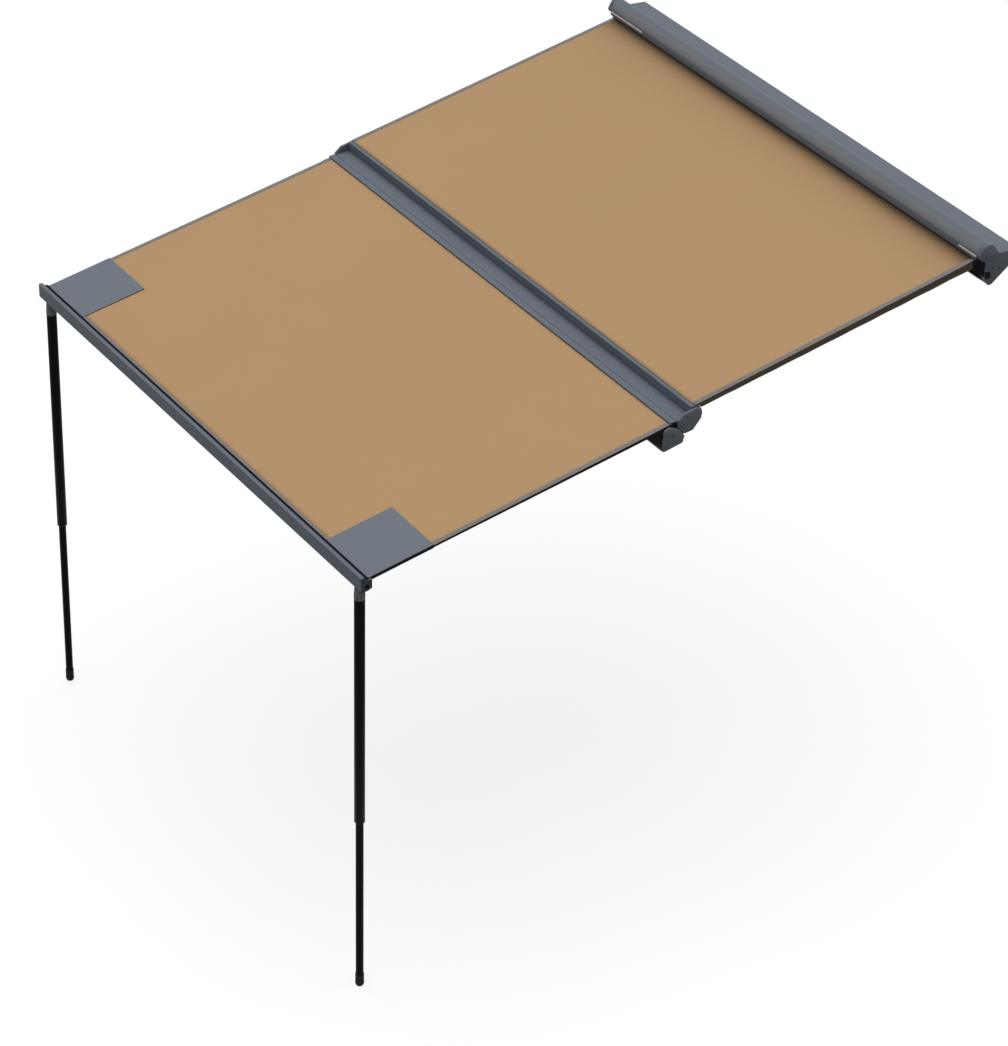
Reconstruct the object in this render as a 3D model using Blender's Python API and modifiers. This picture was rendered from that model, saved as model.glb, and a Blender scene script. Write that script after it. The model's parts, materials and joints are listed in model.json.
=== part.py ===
"""Two-stage roll-out awning for the side of a van.

A cassette fixed to the vehicle holds the first fabric roller and a pair of folding arms.  The arms push
out a mid beam, which holds a second roller and a second, narrower pair of arms, and these push out the
lead rail.  Two telescopic legs turn out of the lead rail.

Metres, Z up.  X runs along the vehicle, the vehicle is at +Y, and the origin is the middle of the
centre bracket's back face.  Sections are drawn in (y, z): y grows towards the vehicle.
"""
from math import acos, atan2, cos, pi, radians, sin, sqrt, tan

import bmesh
import bpy
from mathutils import Matrix, Vector

# Driving sizes
CANOPY_WIDTH = 2.474
INNER_PROJECTION = 1.437        # cassette lip to mid beam front edge, level
INNER_DROP = 0.308              # the same two edges, height
OUTER_PROJECTION = 1.374        # mid beam front edge to lead rail front
OUTER_DROP = 0.2115
RAIL_HEIGHT = 1.966             # lead rail top above the ground

FIT = 0.0003                    # gap between faces that touch
PIN_FIT = 0.0003                # radial clearance of a pin or journal
FABRIC = 0.0022

CASSETTE_SIDE_ROOM = 0.013      # cassette profile past the fabric, each end
CASSETTE_WALL = 0.003
CASSETTE_DEPTH = 0.205          # lip to vehicle
SKIRT = 0.024
HOOD_RADIUS = 0.035
HOOD_Y = 0.043
HOOD_Z = 0.006
CASSETTE_CAP = 0.0237
INNER_ROLLER_RADIUS = 0.026
INNER_ROLLER_DROP = 0.005       # roller axis below the hood's centre
INNER_JOURNAL = 0.008
INNER_JOURNAL_DEPTH = 0.012
ROLLER_WALL = 0.0015
ROLLER_END = 0.006              # plug at each end of a roller tube
ROLLER_BORE = 0.003             # through the plug and its journal

BRACKET_WIDTH = 0.100
BRACKET_HEIGHT = 0.110
BRACKET_PLATE = 0.005
BRACKET_INSET = 0.350           # outer bracket's middle in from the cassette profile's end
BOLT_HOLE = 0.0045
BOLT_SPREAD = 0.070

MID_SIDE_ROOM = 0.001           # first fabric past the mid beam profile, each end
OUTER_FABRIC_ROOM = 0.001       # second fabric inside the mid beam profile, each end
MID_WALL = 0.003
MID_CAP = 0.0117
OUTER_ROLLER_RADIUS = 0.016
OUTER_JOURNAL = 0.006
OUTER_JOURNAL_DEPTH = 0.008

RAIL_SIDE_ROOM = 0.008          # lead rail profile past the fabric, each end
RAIL_WALL = 0.0025
RAIL_RIDGE = 0.016
RAIL_GROOVE = 0.020
RAIL_GROOVE_DROP = 0.013
RAIL_LEDGE_DROP = 0.017
RAIL_SECTION = 0.058
RAIL_CAP = 0.0047
HEM_THICKNESS = 0.0027

ARM_BELOW_FABRIC = 0.045
ARM_HEIGHT = 0.026
ARM_WIDTH = 0.022
ARM_OFFSET = 0.002              # pin line to the bar's near side
ARM_PIN = 0.005
ARM_LUG = 0.011
ARM_TONGUE = 0.016
ARM_CHEEK = 0.0042
ARM_NECK = 0.015                # pin to the start of the full bar
ARM_WALL_ROOM = 0.030           # pin to the wall behind it
INNER_ARM_INSET = 0.117         # pin line in from the fabric's edge
OUTER_ARM_INSET = 0.187
LUG_BLOCK = 0.046

LEG_INSET = 0.048               # fold pin in from the rail profile's end
LEG_TUBE_RADIUS = 0.021
LEG_TUBE_WALL = 0.001
LEG_UPPER_LENGTH = 1.028
LEG_INNER_RADIUS = 0.0155
LEG_OVERLAP = 0.130             # lower tube inside the upper one when drawn out
LEG_CHANNEL_ROOM = 0.0013
COLLAR_STEP = 0.0004
SWIVEL_RADIUS = 0.017
SWIVEL_JOURNAL = 0.009
LEG_PIN = 0.005
LEG_LUG = 0.013
LEG_TONGUE = 0.016
LEG_CHEEK = 0.0062
FOOT_RADIUS = 0.018
BUSH_LENGTH = 0.040

PATCH_WIDTH = 0.292
PATCH_LENGTH = 0.276
PATCH = 0.0015
INNER_FLAP = 0.020
OUTER_FLAP = 0.008

# Sizes that follow
HALF_CANOPY = CANOPY_WIDTH / 2
HALF_CASSETTE = HALF_CANOPY + CASSETTE_SIDE_ROOM
HALF_MID = HALF_CANOPY - MID_SIDE_ROOM
HALF_OUTER = HALF_MID - OUTER_FABRIC_ROOM
HALF_RAIL = HALF_CANOPY + RAIL_SIDE_ROOM

LIP = Vector((0, -CASSETTE_DEPTH, 0.030 + BRACKET_HEIGHT / 2))
MID = LIP + Vector((0, -INNER_PROJECTION, -INNER_DROP))
RAIL = MID + Vector((0, -OUTER_PROJECTION, -OUTER_DROP))

BACK_Y = CASSETTE_DEPTH - BRACKET_PLATE - FIT           # cassette back, from the lip
CASSETTE_BASE_Z = -0.076
ROOF_Y, ROOF_Z = 0.097, -0.008
CASSETTE_FLOOR_Y = 0.165                                # where the floor starts to slope down
CASSETTE_TOE = (0.075, -0.143)
LOWER_LIP = (0.059, -0.146)
LOWER_LIP_EDGE = (0.056, -0.138)
INNER_ROLLER = (HOOD_Y, HOOD_Z - INNER_ROLLER_DROP)
OUTER_ROLLER = (0.088, -0.031)
MID_REAR_Y = 0.142
MID_CREST = (0.112, 0.041)
MID_FLOOR_REAR = (0.050, -0.100)
MID_FLOOR_FRONT = (-0.020, -0.113)
FABRIC_EXIT = (-0.002, -0.010)

LEG_COLLAR_RADIUS = LEG_TUBE_RADIUS + COLLAR_STEP
LEG_Y = RAIL_WALL + LEG_CHANNEL_ROOM + LEG_TUBE_RADIUS
STEP_Y = RAIL_RIDGE + RAIL_GROOVE
STEP_ARM = min(abs(STEP_Y - RAIL_WALL - LEG_Y), LEG_COLLAR_RADIUS)
LEG_Z = -(RAIL_LEDGE_DROP + RAIL_WALL + sqrt(LEG_COLLAR_RADIUS ** 2 - STEP_ARM ** 2) + 0.001)
RAIL_DEPTH = LEG_Y + LEG_TUBE_RADIUS + LEG_CHANNEL_ROOM + RAIL_WALL
LEG_X = HALF_RAIL - LEG_INSET

PALE_ALUMINIUM = (0.150, 0.180, 0.205)


# Drawing helpers
def rounded(points, closed=True, steps=3):
    """Corners given as (a, b, radius) become arcs; (a, b) stays a sharp corner."""
    out = []
    count = len(points)
    for i, point in enumerate(points):
        corner = Vector(point[:2])
        end = not closed and i in (0, count - 1)
        if len(point) == 2 or end:
            out.append(tuple(corner))
            continue
        before = Vector(points[i - 1][:2]) - corner
        after = Vector(points[(i + 1) % count][:2]) - corner
        half = before.angle(after) / 2
        cut = min(point[2] / tan(half), 0.45 * before.length, 0.45 * after.length)
        radius = cut * tan(half)
        centre = corner + (before.normalized() + after.normalized()).normalized() * radius / sin(half)
        first = corner + before.normalized() * cut - centre
        last = corner + after.normalized() * cut - centre
        sweep = atan2(first.x * last.y - first.y * last.x, first.dot(last))
        for k in range(steps + 1):
            angle = sweep * k / steps
            out.append((centre.x + first.x * cos(angle) - first.y * sin(angle),
                        centre.y + first.x * sin(angle) + first.y * cos(angle)))
    return out


def offset(path, distance):
    """The open path moved to its right-hand side."""
    out = []
    for i, point in enumerate(path):
        point = Vector(point)
        normals = []
        for a, b in ((i - 1, i), (i, i + 1)):
            if a >= 0 and b < len(path):
                run = (Vector(path[b]) - Vector(path[a])).normalized()
                normals.append(Vector((run.y, -run.x)))
        mitre = sum(normals, Vector((0, 0)))
        mitre *= distance * len(normals) / mitre.length_squared
        out.append(tuple(point + mitre))
    return out


def walled(path, wall):
    """Closed outline of a wall that lies to the right of the path."""
    return list(path) + offset(path, wall)[::-1]


def tangent(centre, radius, point, side):
    """Where the line from a point touches a circle; side +1 or -1 picks which of the two."""
    away = Vector(point) - Vector(centre)
    angle = atan2(away.y, away.x) + side * acos(radius / away.length)
    return (centre[0] + radius * cos(angle), centre[1] + radius * sin(angle))


def arc(centre, radius, start, end, steps):
    return [(centre[0] + radius * cos(start + (end - start) * k / steps),
             centre[1] + radius * sin(start + (end - start) * k / steps)) for k in range(steps + 1)]


def circle(centre, radius, steps=20):
    return arc(centre, radius, 0, 2 * pi, steps)[:-1]


def on_line(a, b, y):
    """Height of the line a-b at y."""
    return a[1] + (b[1] - a[1]) * (y - a[0]) / (b[0] - a[0])


def moved(points, dy, dz):
    return [(p[0] + dy, p[1] + dz) + tuple(p[2:]) for p in points]


# Blender helpers
for old in list(bpy.data.objects):
    bpy.data.objects.remove(old, do_unlink=True)

PARTS = bpy.data.collections.new("Vehicle side awning")
CUTTERS = bpy.data.collections.new("Cutters and guides")
for group in (PARTS, CUTTERS):
    bpy.context.scene.collection.children.link(group)

ALONG_X = Matrix.Rotation(pi / 2, 4, "Z") @ Matrix.Rotation(pi / 2, 4, "X")     # local x, y, z to Y, Z, X
ALONG_Y = Matrix.Rotation(pi, 4, "Z") @ Matrix.Rotation(pi / 2, 4, "X")         # local x, y, z to -X, Z, Y
FRAMES = {}


def at(x, y, z):
    return Matrix.Translation((x, y, z))


def material(name, colour, roughness, metallic=0.0):
    made = bpy.data.materials.new(name)
    made.use_nodes = True
    shader = made.node_tree.nodes["Principled BSDF"]
    shader.inputs["Base Color"].default_value = (*colour, 1)
    shader.inputs["Roughness"].default_value = roughness
    shader.inputs["Metallic"].default_value = metallic
    made.diffuse_color = (*colour, 1)
    return made


def frame(name, world, parent=None):
    """An empty on a joint's axis, which carries a body's pieces."""
    empty = bpy.data.objects.new(name, None)
    empty.empty_display_size = 0.05
    PARTS.objects.link(empty)
    FRAMES[empty] = world
    if parent:
        empty.parent = parent
        empty.matrix_basis = FRAMES[parent].inverted() @ world
    else:
        empty.matrix_basis = world
    return empty


def put(thing, world, body):
    thing.parent = body
    thing.matrix_basis = FRAMES[body].inverted() @ world


def prism(name, outlines, low, high):
    """Flat outline, with any holes, extruded along local Z from low to high."""
    curve = bpy.data.curves.new(name, "CURVE")
    curve.dimensions = "2D"
    curve.fill_mode = "BOTH"
    curve.extrude = (high - low) / 2
    for outline in outlines:
        spline = curve.splines.new("POLY")
        spline.points.add(len(outline) - 1)
        for point, place in zip(spline.points, outline):
            point.co = (place[0], place[1], 0, 1)
        spline.use_cyclic_u = True
    drawn = bpy.data.objects.new(name, curve)
    PARTS.objects.link(drawn)
    graph = bpy.context.evaluated_depsgraph_get()
    mesh = bpy.data.meshes.new_from_object(drawn.evaluated_get(graph))
    bpy.data.objects.remove(drawn, do_unlink=True)
    bpy.data.curves.remove(curve)
    form = bmesh.new()
    form.from_mesh(mesh)
    bmesh.ops.remove_doubles(form, verts=form.verts, dist=0.000001)
    bmesh.ops.translate(form, verts=form.verts, vec=(0, 0, (high + low) / 2))
    bmesh.ops.recalc_face_normals(form, faces=form.faces)
    form.to_mesh(mesh)
    form.free()
    made = bpy.data.objects.new(name, mesh)
    PARTS.objects.link(made)
    return made


def turned(name, profile, steps=24, loop=False):
    """A (radius, height) profile, drawn down its outer side, turned round local Z."""
    mesh = bpy.data.meshes.new(name)
    edges = [(k, k + 1) for k in range(len(profile) - 1)]
    if loop:
        edges.append((len(profile) - 1, 0))
    mesh.from_pydata([(radius, 0, height) for radius, height in profile], edges, [])
    made = bpy.data.objects.new(name, mesh)
    PARTS.objects.link(made)
    screw = made.modifiers.new("Turn", "SCREW")
    screw.axis = "Z"
    screw.angle = 2 * pi
    screw.steps = screw.render_steps = steps
    screw.use_merge_vertices = True
    screw.merge_threshold = 0.00001
    screw.use_smooth_shade = True
    return made


def block(name, low, high):
    """A box between two corners."""
    form = bmesh.new()
    bmesh.ops.create_cube(form, size=1)
    for vert in form.verts:
        vert.co = [a + (b - a) * (c + 0.5) for a, b, c in zip(low, high, vert.co)]
    mesh = bpy.data.meshes.new(name)
    form.to_mesh(mesh)
    form.free()
    made = bpy.data.objects.new(name, mesh)
    PARTS.objects.link(made)
    return made


def soften(thing, width, segments=1, angle=50):
    bevel = thing.modifiers.new("Edge", "BEVEL")
    bevel.width = width
    bevel.segments = segments
    bevel.limit_method = "ANGLE"
    bevel.angle_limit = radians(angle)
    bevel.use_clamp_overlap = True


def combine(thing, tool, operation, world, body):
    """Join or cut with a guide that stays in its own collection."""
    put(tool, world, body)
    PARTS.objects.unlink(tool)
    CUTTERS.objects.link(tool)
    tool.hide_render = True
    tool.display_type = "WIRE"
    step = thing.modifiers.new(tool.name, "BOOLEAN")
    step.operation = operation
    step.solver = "EXACT"
    step.object = tool


def finish(thing, name, look, world, body):
    thing.name = name
    thing.data.name = name
    thing.data.materials.clear()
    thing.data.materials.append(look)
    put(thing, world, body)
    if thing.data.polygons:
        thing.data.shade_smooth()
        thing.data.set_sharp_from_angle(angle=radians(32))
    return thing


# Finishes
ALUMINIUM = material("powder_coated_aluminium", PALE_ALUMINIUM, 0.42, 0.35)
CAP_GREY = material("end_cap_grey", (0.060, 0.068, 0.078), 0.5)
TAN = material("tan_canopy_fabric", (0.446, 0.287, 0.150), 0.85)
PATCH_GREY = material("patch_fabric_grey", (0.162, 0.185, 0.216), 0.8)
ARM_GREY = material("arm_aluminium_dark", (0.045, 0.048, 0.052), 0.45, 0.4)
CAST_DARK = material("cast_bracket_dark", (0.030, 0.032, 0.035), 0.55, 0.3)
ROLLER_STEEL = material("roller_steel", (0.45, 0.46, 0.47), 0.38, 0.9)
BRACKET_STEEL = material("mount_bracket_steel", (0.08, 0.088, 0.096), 0.5, 0.5)
LEG_BLACK = material("leg_tube_black", (0.009, 0.009, 0.010), 0.4, 0.2)
NYLON_BLACK = material("nylon_black", (0.012, 0.012, 0.013), 0.55)
GLIDE_WHITE = material("glide_strip_white", (0.58, 0.53, 0.48), 0.5)
HEM_GREY = material("hem_bar_grey", (0.19, 0.19, 0.195), 0.6)

# Fabric lines and arm planes
SHOULDER_Y = BACK_Y - CASSETTE_WALL - ARM_WALL_ROOM - FIT
MID_ON_LIP = (-INNER_PROJECTION, -INNER_DROP)
FABRIC_LOW = (MID_ON_LIP[0] + MID_CREST[0], MID_ON_LIP[1] + MID_CREST[1] + FIT + FABRIC / 2 + 0.0002)
FABRIC_HIGH = tangent(INNER_ROLLER, INNER_ROLLER_RADIUS + FIT + FABRIC / 2, FABRIC_LOW, 1)
INNER_SLOPE = atan2(FABRIC_HIGH[1] - FABRIC_LOW[1], FABRIC_HIGH[0] - FABRIC_LOW[0])

RAIL_ON_MID = (-OUTER_PROJECTION, -OUTER_DROP)
HEM_REAR_Y = RAIL_DEPTH - 0.001
OUTER_LOW = (RAIL_ON_MID[0] + HEM_REAR_Y + FIT, RAIL_ON_MID[1] - RAIL_LEDGE_DROP + FABRIC / 2 + 0.0006)
OUTER_SLOPE = atan2(FABRIC_EXIT[1] - OUTER_LOW[1], FABRIC_EXIT[0] - OUTER_LOW[0])


def arm_height(y, point, slope):
    """Height of the arm plane, which lies parallel to the fabric that passes through the point."""
    return point[1] + (y - point[0]) * tan(slope) - ARM_BELOW_FABRIC / cos(slope)


SHOULDER_IN = (SHOULDER_Y, arm_height(SHOULDER_Y, FABRIC_LOW, INNER_SLOPE))
WRIST_IN_Y = MID_ON_LIP[0] + MID_REAR_Y + ARM_WALL_ROOM
WRIST_IN = (WRIST_IN_Y, arm_height(WRIST_IN_Y, FABRIC_LOW, INNER_SLOPE))
INNER_ARM = (SHOULDER_IN[0] - WRIST_IN[0]) / cos(INNER_SLOPE) / 2

SHOULDER_OUT = (0.019, arm_height(0.019, FABRIC_EXIT, OUTER_SLOPE))
WRIST_OUT_Y = RAIL_ON_MID[0] + RAIL_DEPTH + FIT + ARM_WALL_ROOM
WRIST_OUT = (WRIST_OUT_Y, arm_height(WRIST_OUT_Y, FABRIC_EXIT, OUTER_SLOPE))
OUTER_ARM = (SHOULDER_OUT[0] - WRIST_OUT[0]) / cos(OUTER_SLOPE) / 2

# Cassette
vehicle = frame("cassette_frame", at(*LIP))
cassette_world = at(*LIP) @ ALONG_X

roof = [(ROOF_Y, ROOF_Z, 0.012), (BACK_Y, -0.0195, 0.004)]
hood_front = tangent((HOOD_Y, HOOD_Z), HOOD_RADIUS, (0, 0), -1)
hood_back = tangent((HOOD_Y, HOOD_Z), HOOD_RADIUS, (ROOF_Y, ROOF_Z), 1)
front_angle = atan2(hood_front[1] - HOOD_Z, hood_front[0] - HOOD_Y)
back_angle = atan2(hood_back[1] - HOOD_Z, hood_back[0] - HOOD_Y)
hood = arc((HOOD_Y, HOOD_Z), HOOD_RADIUS, front_angle, back_angle, 12)

cassette_path = rounded(
    [(0, -SKIRT), (0, 0)] + hood + roof
    + [(BACK_Y, CASSETTE_BASE_Z, 0.004), (CASSETTE_FLOOR_Y, CASSETTE_BASE_Z, 0.008), (*CASSETTE_TOE, 0.010),
       (*LOWER_LIP, 0.004), LOWER_LIP_EDGE], closed=False)
body = prism("cassette_body", [walled(cassette_path, CASSETTE_WALL)], -HALF_CASSETTE, HALF_CASSETTE)
finish(body, "cassette_body", ALUMINIUM, cassette_world, vehicle)

cap_outline = rounded(
    [(0, 0)] + hood + roof
    + [(BACK_Y, CASSETTE_BASE_Z, 0.004), (CASSETTE_FLOOR_Y, CASSETTE_BASE_Z, 0.008), (*CASSETTE_TOE, 0.010),
       (*LOWER_LIP, 0.006), (0.046, -0.130, 0.006), (0.030, -0.099, 0.010), (0.030, -0.031, 0.006),
       (0.020, -0.028, 0.004), (0.002, -0.010, 0.002)])
JOURNAL_BORE_IN = INNER_JOURNAL + PIN_FIT

for side, label in ((1, "right"), (-1, "left")):
    inside = side * (HALF_CASSETTE + FIT)
    outside = side * (HALF_CASSETTE + FIT + CASSETTE_CAP)
    cap = prism("cap", [cap_outline], min(inside, outside), max(inside, outside))
    soften(cap, 0.002, angle=60)
    bore_end = inside + side * INNER_JOURNAL_DEPTH
    bore = prism("bore_cassette_" + label, [circle(INNER_ROLLER, JOURNAL_BORE_IN)],
                 min(inside - side * 0.01, bore_end), max(inside - side * 0.01, bore_end))
    combine(cap, bore, "DIFFERENCE", cassette_world, vehicle)
    finish(cap, "cassette_cap_" + label, CAP_GREY, cassette_world, vehicle)

# Brackets: a plate on the vehicle's wall, a ledge under the cassette, bolt holes below the cassette
plate_top = -0.030
plate_low = plate_top - BRACKET_HEIGHT
ledge_top = CASSETTE_BASE_Z - FIT
for place, label in ((-1, "left"), (0, "centre"), (1, "right")):
    centre_x = place * (HALF_CASSETTE - BRACKET_INSET)
    half = BRACKET_WIDTH / 2
    bolt_z = (ledge_top + plate_low) / 2
    plate = prism("plate", [rounded([(-half, plate_low, 0.006), (half, plate_low, 0.006),
                                     (half, plate_top, 0.006), (-half, plate_top, 0.006)]),
                            circle((-BOLT_SPREAD / 2, bolt_z), BOLT_HOLE),
                            circle((BOLT_SPREAD / 2, bolt_z), BOLT_HOLE)],
                  CASSETTE_DEPTH - BRACKET_PLATE, CASSETTE_DEPTH)
    ledge = prism("ledge_" + label, [rounded([
        (CASSETTE_DEPTH - 0.001, ledge_top), (CASSETTE_DEPTH - 0.001, ledge_top - 0.014),
        (BACK_Y - 0.006, ledge_top - 0.005, 0.006), (0.167, ledge_top - 0.005, 0.001),
        (0.167, ledge_top)])], centre_x - 0.9 * half, centre_x + 0.9 * half)
    combine(plate, ledge, "UNION", cassette_world, vehicle)
    finish(plate, "mount_bracket_" + label, BRACKET_STEEL, at(*LIP) @ at(centre_x, 0, 0) @ ALONG_Y, vehicle)

# Pale glide strips at both ends of the mouth
strip = [(-FIT, -0.004), (-FIT - 0.002, -0.004), (-FIT - 0.002, -0.020), (-FIT, -0.020)]
for low, high, label in ((HALF_CASSETTE - 0.107, HALF_CASSETTE, "upper_right"),
                         (-HALF_CASSETTE, -HALF_CASSETTE + 0.237, "upper_left")):
    made = prism("strip", [strip], low, high)
    finish(made, "glide_strip_" + label, GLIDE_WHITE, cassette_world, vehicle)
lip_low, lip_high = Vector(LOWER_LIP), Vector(LOWER_LIP_EDGE)
run = (lip_high - lip_low).normalized()
out = Vector((-run.y, run.x))
strip = [lip_low + run * 0.0035 + out * FIT, lip_high + out * FIT,
         lip_high + out * (FIT + 0.002), lip_low + run * 0.0035 + out * (FIT + 0.002)]
made = prism("strip", [strip], HALF_CASSETTE - 0.120, HALF_CASSETTE - 0.035)
finish(made, "glide_strip_lower_right", GLIDE_WHITE, cassette_world, vehicle)


def roller(name, radius, half, journal, reach, axis, origin, parent):
    """Hollow tube, closed by a plug with a bored journal at each end."""
    inside = radius - ROLLER_WALL
    plug = half - ROLLER_END
    made = turned(name, [(ROLLER_BORE, reach), (journal, reach), (journal, half), (radius, half),
                         (radius, -half), (journal, -half), (journal, -reach), (ROLLER_BORE, -reach),
                         (ROLLER_BORE, -plug), (inside, -plug), (inside, plug), (ROLLER_BORE, plug)],
                  steps=20, loop=True)
    place = origin + Vector((0, *axis))
    body_frame = frame(name + "_frame", at(*place), parent)
    finish(made, name, ROLLER_STEEL, at(*place) @ ALONG_X, body_frame)


roller("roller_inner", INNER_ROLLER_RADIUS, HALF_CASSETTE - 0.002, INNER_JOURNAL,
       HALF_CASSETTE + FIT + INNER_JOURNAL_DEPTH - 0.0004, INNER_ROLLER, LIP, vehicle)

# Mid beam
WRIST_WORLD_IN = LIP + Vector((HALF_CANOPY - INNER_ARM_INSET, *WRIST_IN))
mid_path = rounded(
    [(0, -0.006), (0, 0), (0.026, 0.001), (0.026, -0.004), (0.031, -0.004), (0.031, -0.002),
     (0.096, -0.002), (0.096, 0.040, 0.003), (*MID_CREST, 0.010), (0.126, 0.038, 0.010),
     (0.138, 0.030, 0.010), (MID_REAR_Y, 0.021, 0.006), (MID_REAR_Y, -0.006, 0.010),
     (0.136, -0.017, 0.012), (0.101, -0.058, 0.010), (0.068, -0.065, 0.004), (0.064, -0.072, 0.004),
     (0.056, -0.098, 0.004), (*MID_FLOOR_REAR, 0.003), (*MID_FLOOR_FRONT, 0.010), (-0.034, -0.115),
     (-0.034, -0.108)], closed=False, steps=2)
mid_world = at(*MID) @ ALONG_X
beam = prism("mid_beam_body", [walled(mid_path, MID_WALL)], -HALF_MID, HALF_MID)

upper_cap = rounded(
    [(0.0336, 0.0023, 0.004), (0.0615, 0.026, 0.006), (0.119, 0.036, 0.010), (0.138, 0.026, 0.010),
     (MID_REAR_Y, 0.004, 0.010), (0.1365, -0.017, 0.010), (0.1016, -0.0576, 0.010),
     (0.0685, -0.065, 0.006), (0.038, -0.020, 0.008)])
lower_cap = rounded(
    [(-0.025, -0.016, 0.004), (0.0647, -0.0718, 0.005), (0.0559, -0.0984, 0.004), (0.050, -0.1005, 0.003),
     (-0.0198, -0.1135, 0.006), (-0.034, -0.1145, 0.003)])
JOURNAL_BORE_OUT = OUTER_JOURNAL + PIN_FIT

# Folding arms
CHEEK_IN = ARM_TONGUE / 2 + FIT
CHEEK_OUT = CHEEK_IN + ARM_CHEEK


def knuckle(reach, low, high):
    """Round lug about the pin, drawn out to a straight end between low and high."""
    upper = tangent((0, 0), ARM_LUG, (reach, high), 1)
    lower = tangent((0, 0), ARM_LUG, (reach, low), -1)
    start = atan2(upper[1], upper[0])
    end = atan2(lower[1], lower[0])
    while end < start:
        end += 2 * pi
    return arc((0, 0), ARM_LUG, start, end, 9) + [(reach, low), (reach + 0.006, low),
                                                   (reach + 0.006, high), (reach, high)]


def arm(name, length, world, body, fork_at_end):
    """Bar beside its pin line.  Tongue at the start; tongue or fork at the far end."""
    low, high = ARM_OFFSET, ARM_OFFSET + ARM_WIDTH
    bar = block("bar", (ARM_NECK, low, -ARM_HEIGHT / 2), (length - ARM_NECK, high, ARM_HEIGHT / 2))
    soften(bar, 0.004, angle=60)
    lug = knuckle(ARM_NECK, low + 0.001, high - 0.001)
    tongue = prism("tongue_" + name, [lug, circle((0, 0), ARM_PIN + PIN_FIT, 16)],
                   -ARM_TONGUE / 2, ARM_TONGUE / 2)
    combine(bar, tongue, "UNION", world, body)
    far = [(length - x, y) for x, y in lug]
    if fork_at_end:
        for low_z, high_z, label in ((CHEEK_IN, CHEEK_OUT, "top"), (-CHEEK_OUT, -CHEEK_IN, "base")):
            cheek = prism("cheek_%s_%s" % (label, name), [far], low_z, high_z)
            combine(bar, cheek, "UNION", world, body)
        pin = turned("pin_" + name, [(0, CHEEK_OUT + 0.001), (ARM_PIN, CHEEK_OUT + 0.001),
                                     (ARM_PIN, -CHEEK_OUT - 0.001), (0, -CHEEK_OUT - 0.001)], steps=12)
        combine(bar, pin, "UNION", world @ at(length, 0, 0), body)
    else:
        tongue = prism("far_tongue_" + name, [far, circle((length, 0), ARM_PIN + PIN_FIT, 16)],
                       -ARM_TONGUE / 2, ARM_TONGUE / 2)
        combine(bar, tongue, "UNION", world, body)
    return finish(bar, name, ARM_GREY, world, body)


def arm_axes(point, side, slope):
    """Local x out along the slope, local y towards the awning's middle."""
    out = Vector((0, -cos(slope), -sin(slope)))
    inward = Vector((-side, 0, 0))
    made = Matrix((out, inward, out.cross(inward))).transposed().to_4x4()
    made.translation = point
    return made


def fork_bracket(name, pin_point, side, slope, base, body):
    """Fork and pin in the arm's plane, on a base drawn in (y, z) about the pin."""
    fork_world = arm_axes(pin_point, side, slope) @ Matrix.Rotation(pi / 2, 4, "Z")
    outward = -1                                 # local x of the turned frame points inwards
    inner_x = side * ARM_NECK
    outer_x = side * (ARM_NECK + LUG_BLOCK)
    made = prism("base", [base], min(inner_x, outer_x), max(inner_x, outer_x))
    root = [(outward * x, y) for x, y in knuckle(ARM_NECK - 0.001, -0.009, 0.009)]
    for low_z, high_z, label in ((CHEEK_IN, CHEEK_OUT, "top"), (-CHEEK_OUT, -CHEEK_IN, "base")):
        cheek = prism("cheek_%s_%s" % (label, name), [root], low_z, high_z)
        combine(made, cheek, "UNION", fork_world, body)
    pin = turned("pin_" + name, [(0, CHEEK_OUT + 0.001), (ARM_PIN, CHEEK_OUT + 0.001),
                                 (ARM_PIN, -CHEEK_OUT - 0.001), (0, -CHEEK_OUT - 0.001)], steps=12)
    combine(made, pin, "UNION", fork_world, body)
    finish(made, name, CAST_DARK, at(*pin_point) @ ALONG_X, body)


def box_outline(low, high):
    return [(low[0], low[1]), (high[0], low[1]), (high[0], high[1]), (low[0], high[1])]


def pair_of_arms(stage, shoulder, wrist, length, inset, slope, origin, carrier, carried):
    """Both arms of a stage, each a shoulder frame that carries an elbow frame."""
    for side, label in ((1, "right"), (-1, "left")):
        x = side * (HALF_CANOPY - inset)
        shoulder_world = arm_axes(origin + Vector((x, *shoulder)), side, slope)
        upper = frame("shoulder_frame_%s_%s" % (stage, label), shoulder_world, carrier)
        arm("upper_arm_%s_%s" % (stage, label), length, shoulder_world, upper, True)
        elbow_world = shoulder_world @ at(length, 0, 0)
        fore = frame("elbow_frame_%s_%s" % (stage, label), elbow_world, upper)
        arm("forearm_%s_%s" % (stage, label), length, elbow_world, fore, False)


# The mid beam hangs on the right-hand forearm's wrist pin
mid_frame = frame("mid_beam_frame", at(*WRIST_WORLD_IN), vehicle)
finish(beam, "mid_beam_body", ALUMINIUM, mid_world, mid_frame)
for side, label in ((1, "right"), (-1, "left")):
    inside = side * (HALF_MID + FIT)
    outside = side * (HALF_MID + FIT + MID_CAP)
    for outline, name in ((upper_cap, "mid_cap_upper_"), (lower_cap, "mid_cap_lower_")):
        cap = prism("cap", [outline], min(inside, outside), max(inside, outside))
        soften(cap, 0.0012, angle=60)
        if outline is upper_cap:
            bore_end = inside + side * OUTER_JOURNAL_DEPTH
            bore = prism("bore_mid_" + label, [circle(OUTER_ROLLER, JOURNAL_BORE_OUT)],
                         min(inside - side * 0.01, bore_end), max(inside - side * 0.01, bore_end))
            combine(cap, bore, "DIFFERENCE", mid_world, mid_frame)
        finish(cap, name + label, CAP_GREY, mid_world, mid_frame)

roller("roller_outer", OUTER_ROLLER_RADIUS, HALF_MID - 0.002, OUTER_JOURNAL,
       HALF_MID + FIT + OUTER_JOURNAL_DEPTH - 0.0004, OUTER_ROLLER, MID, mid_frame)

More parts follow.
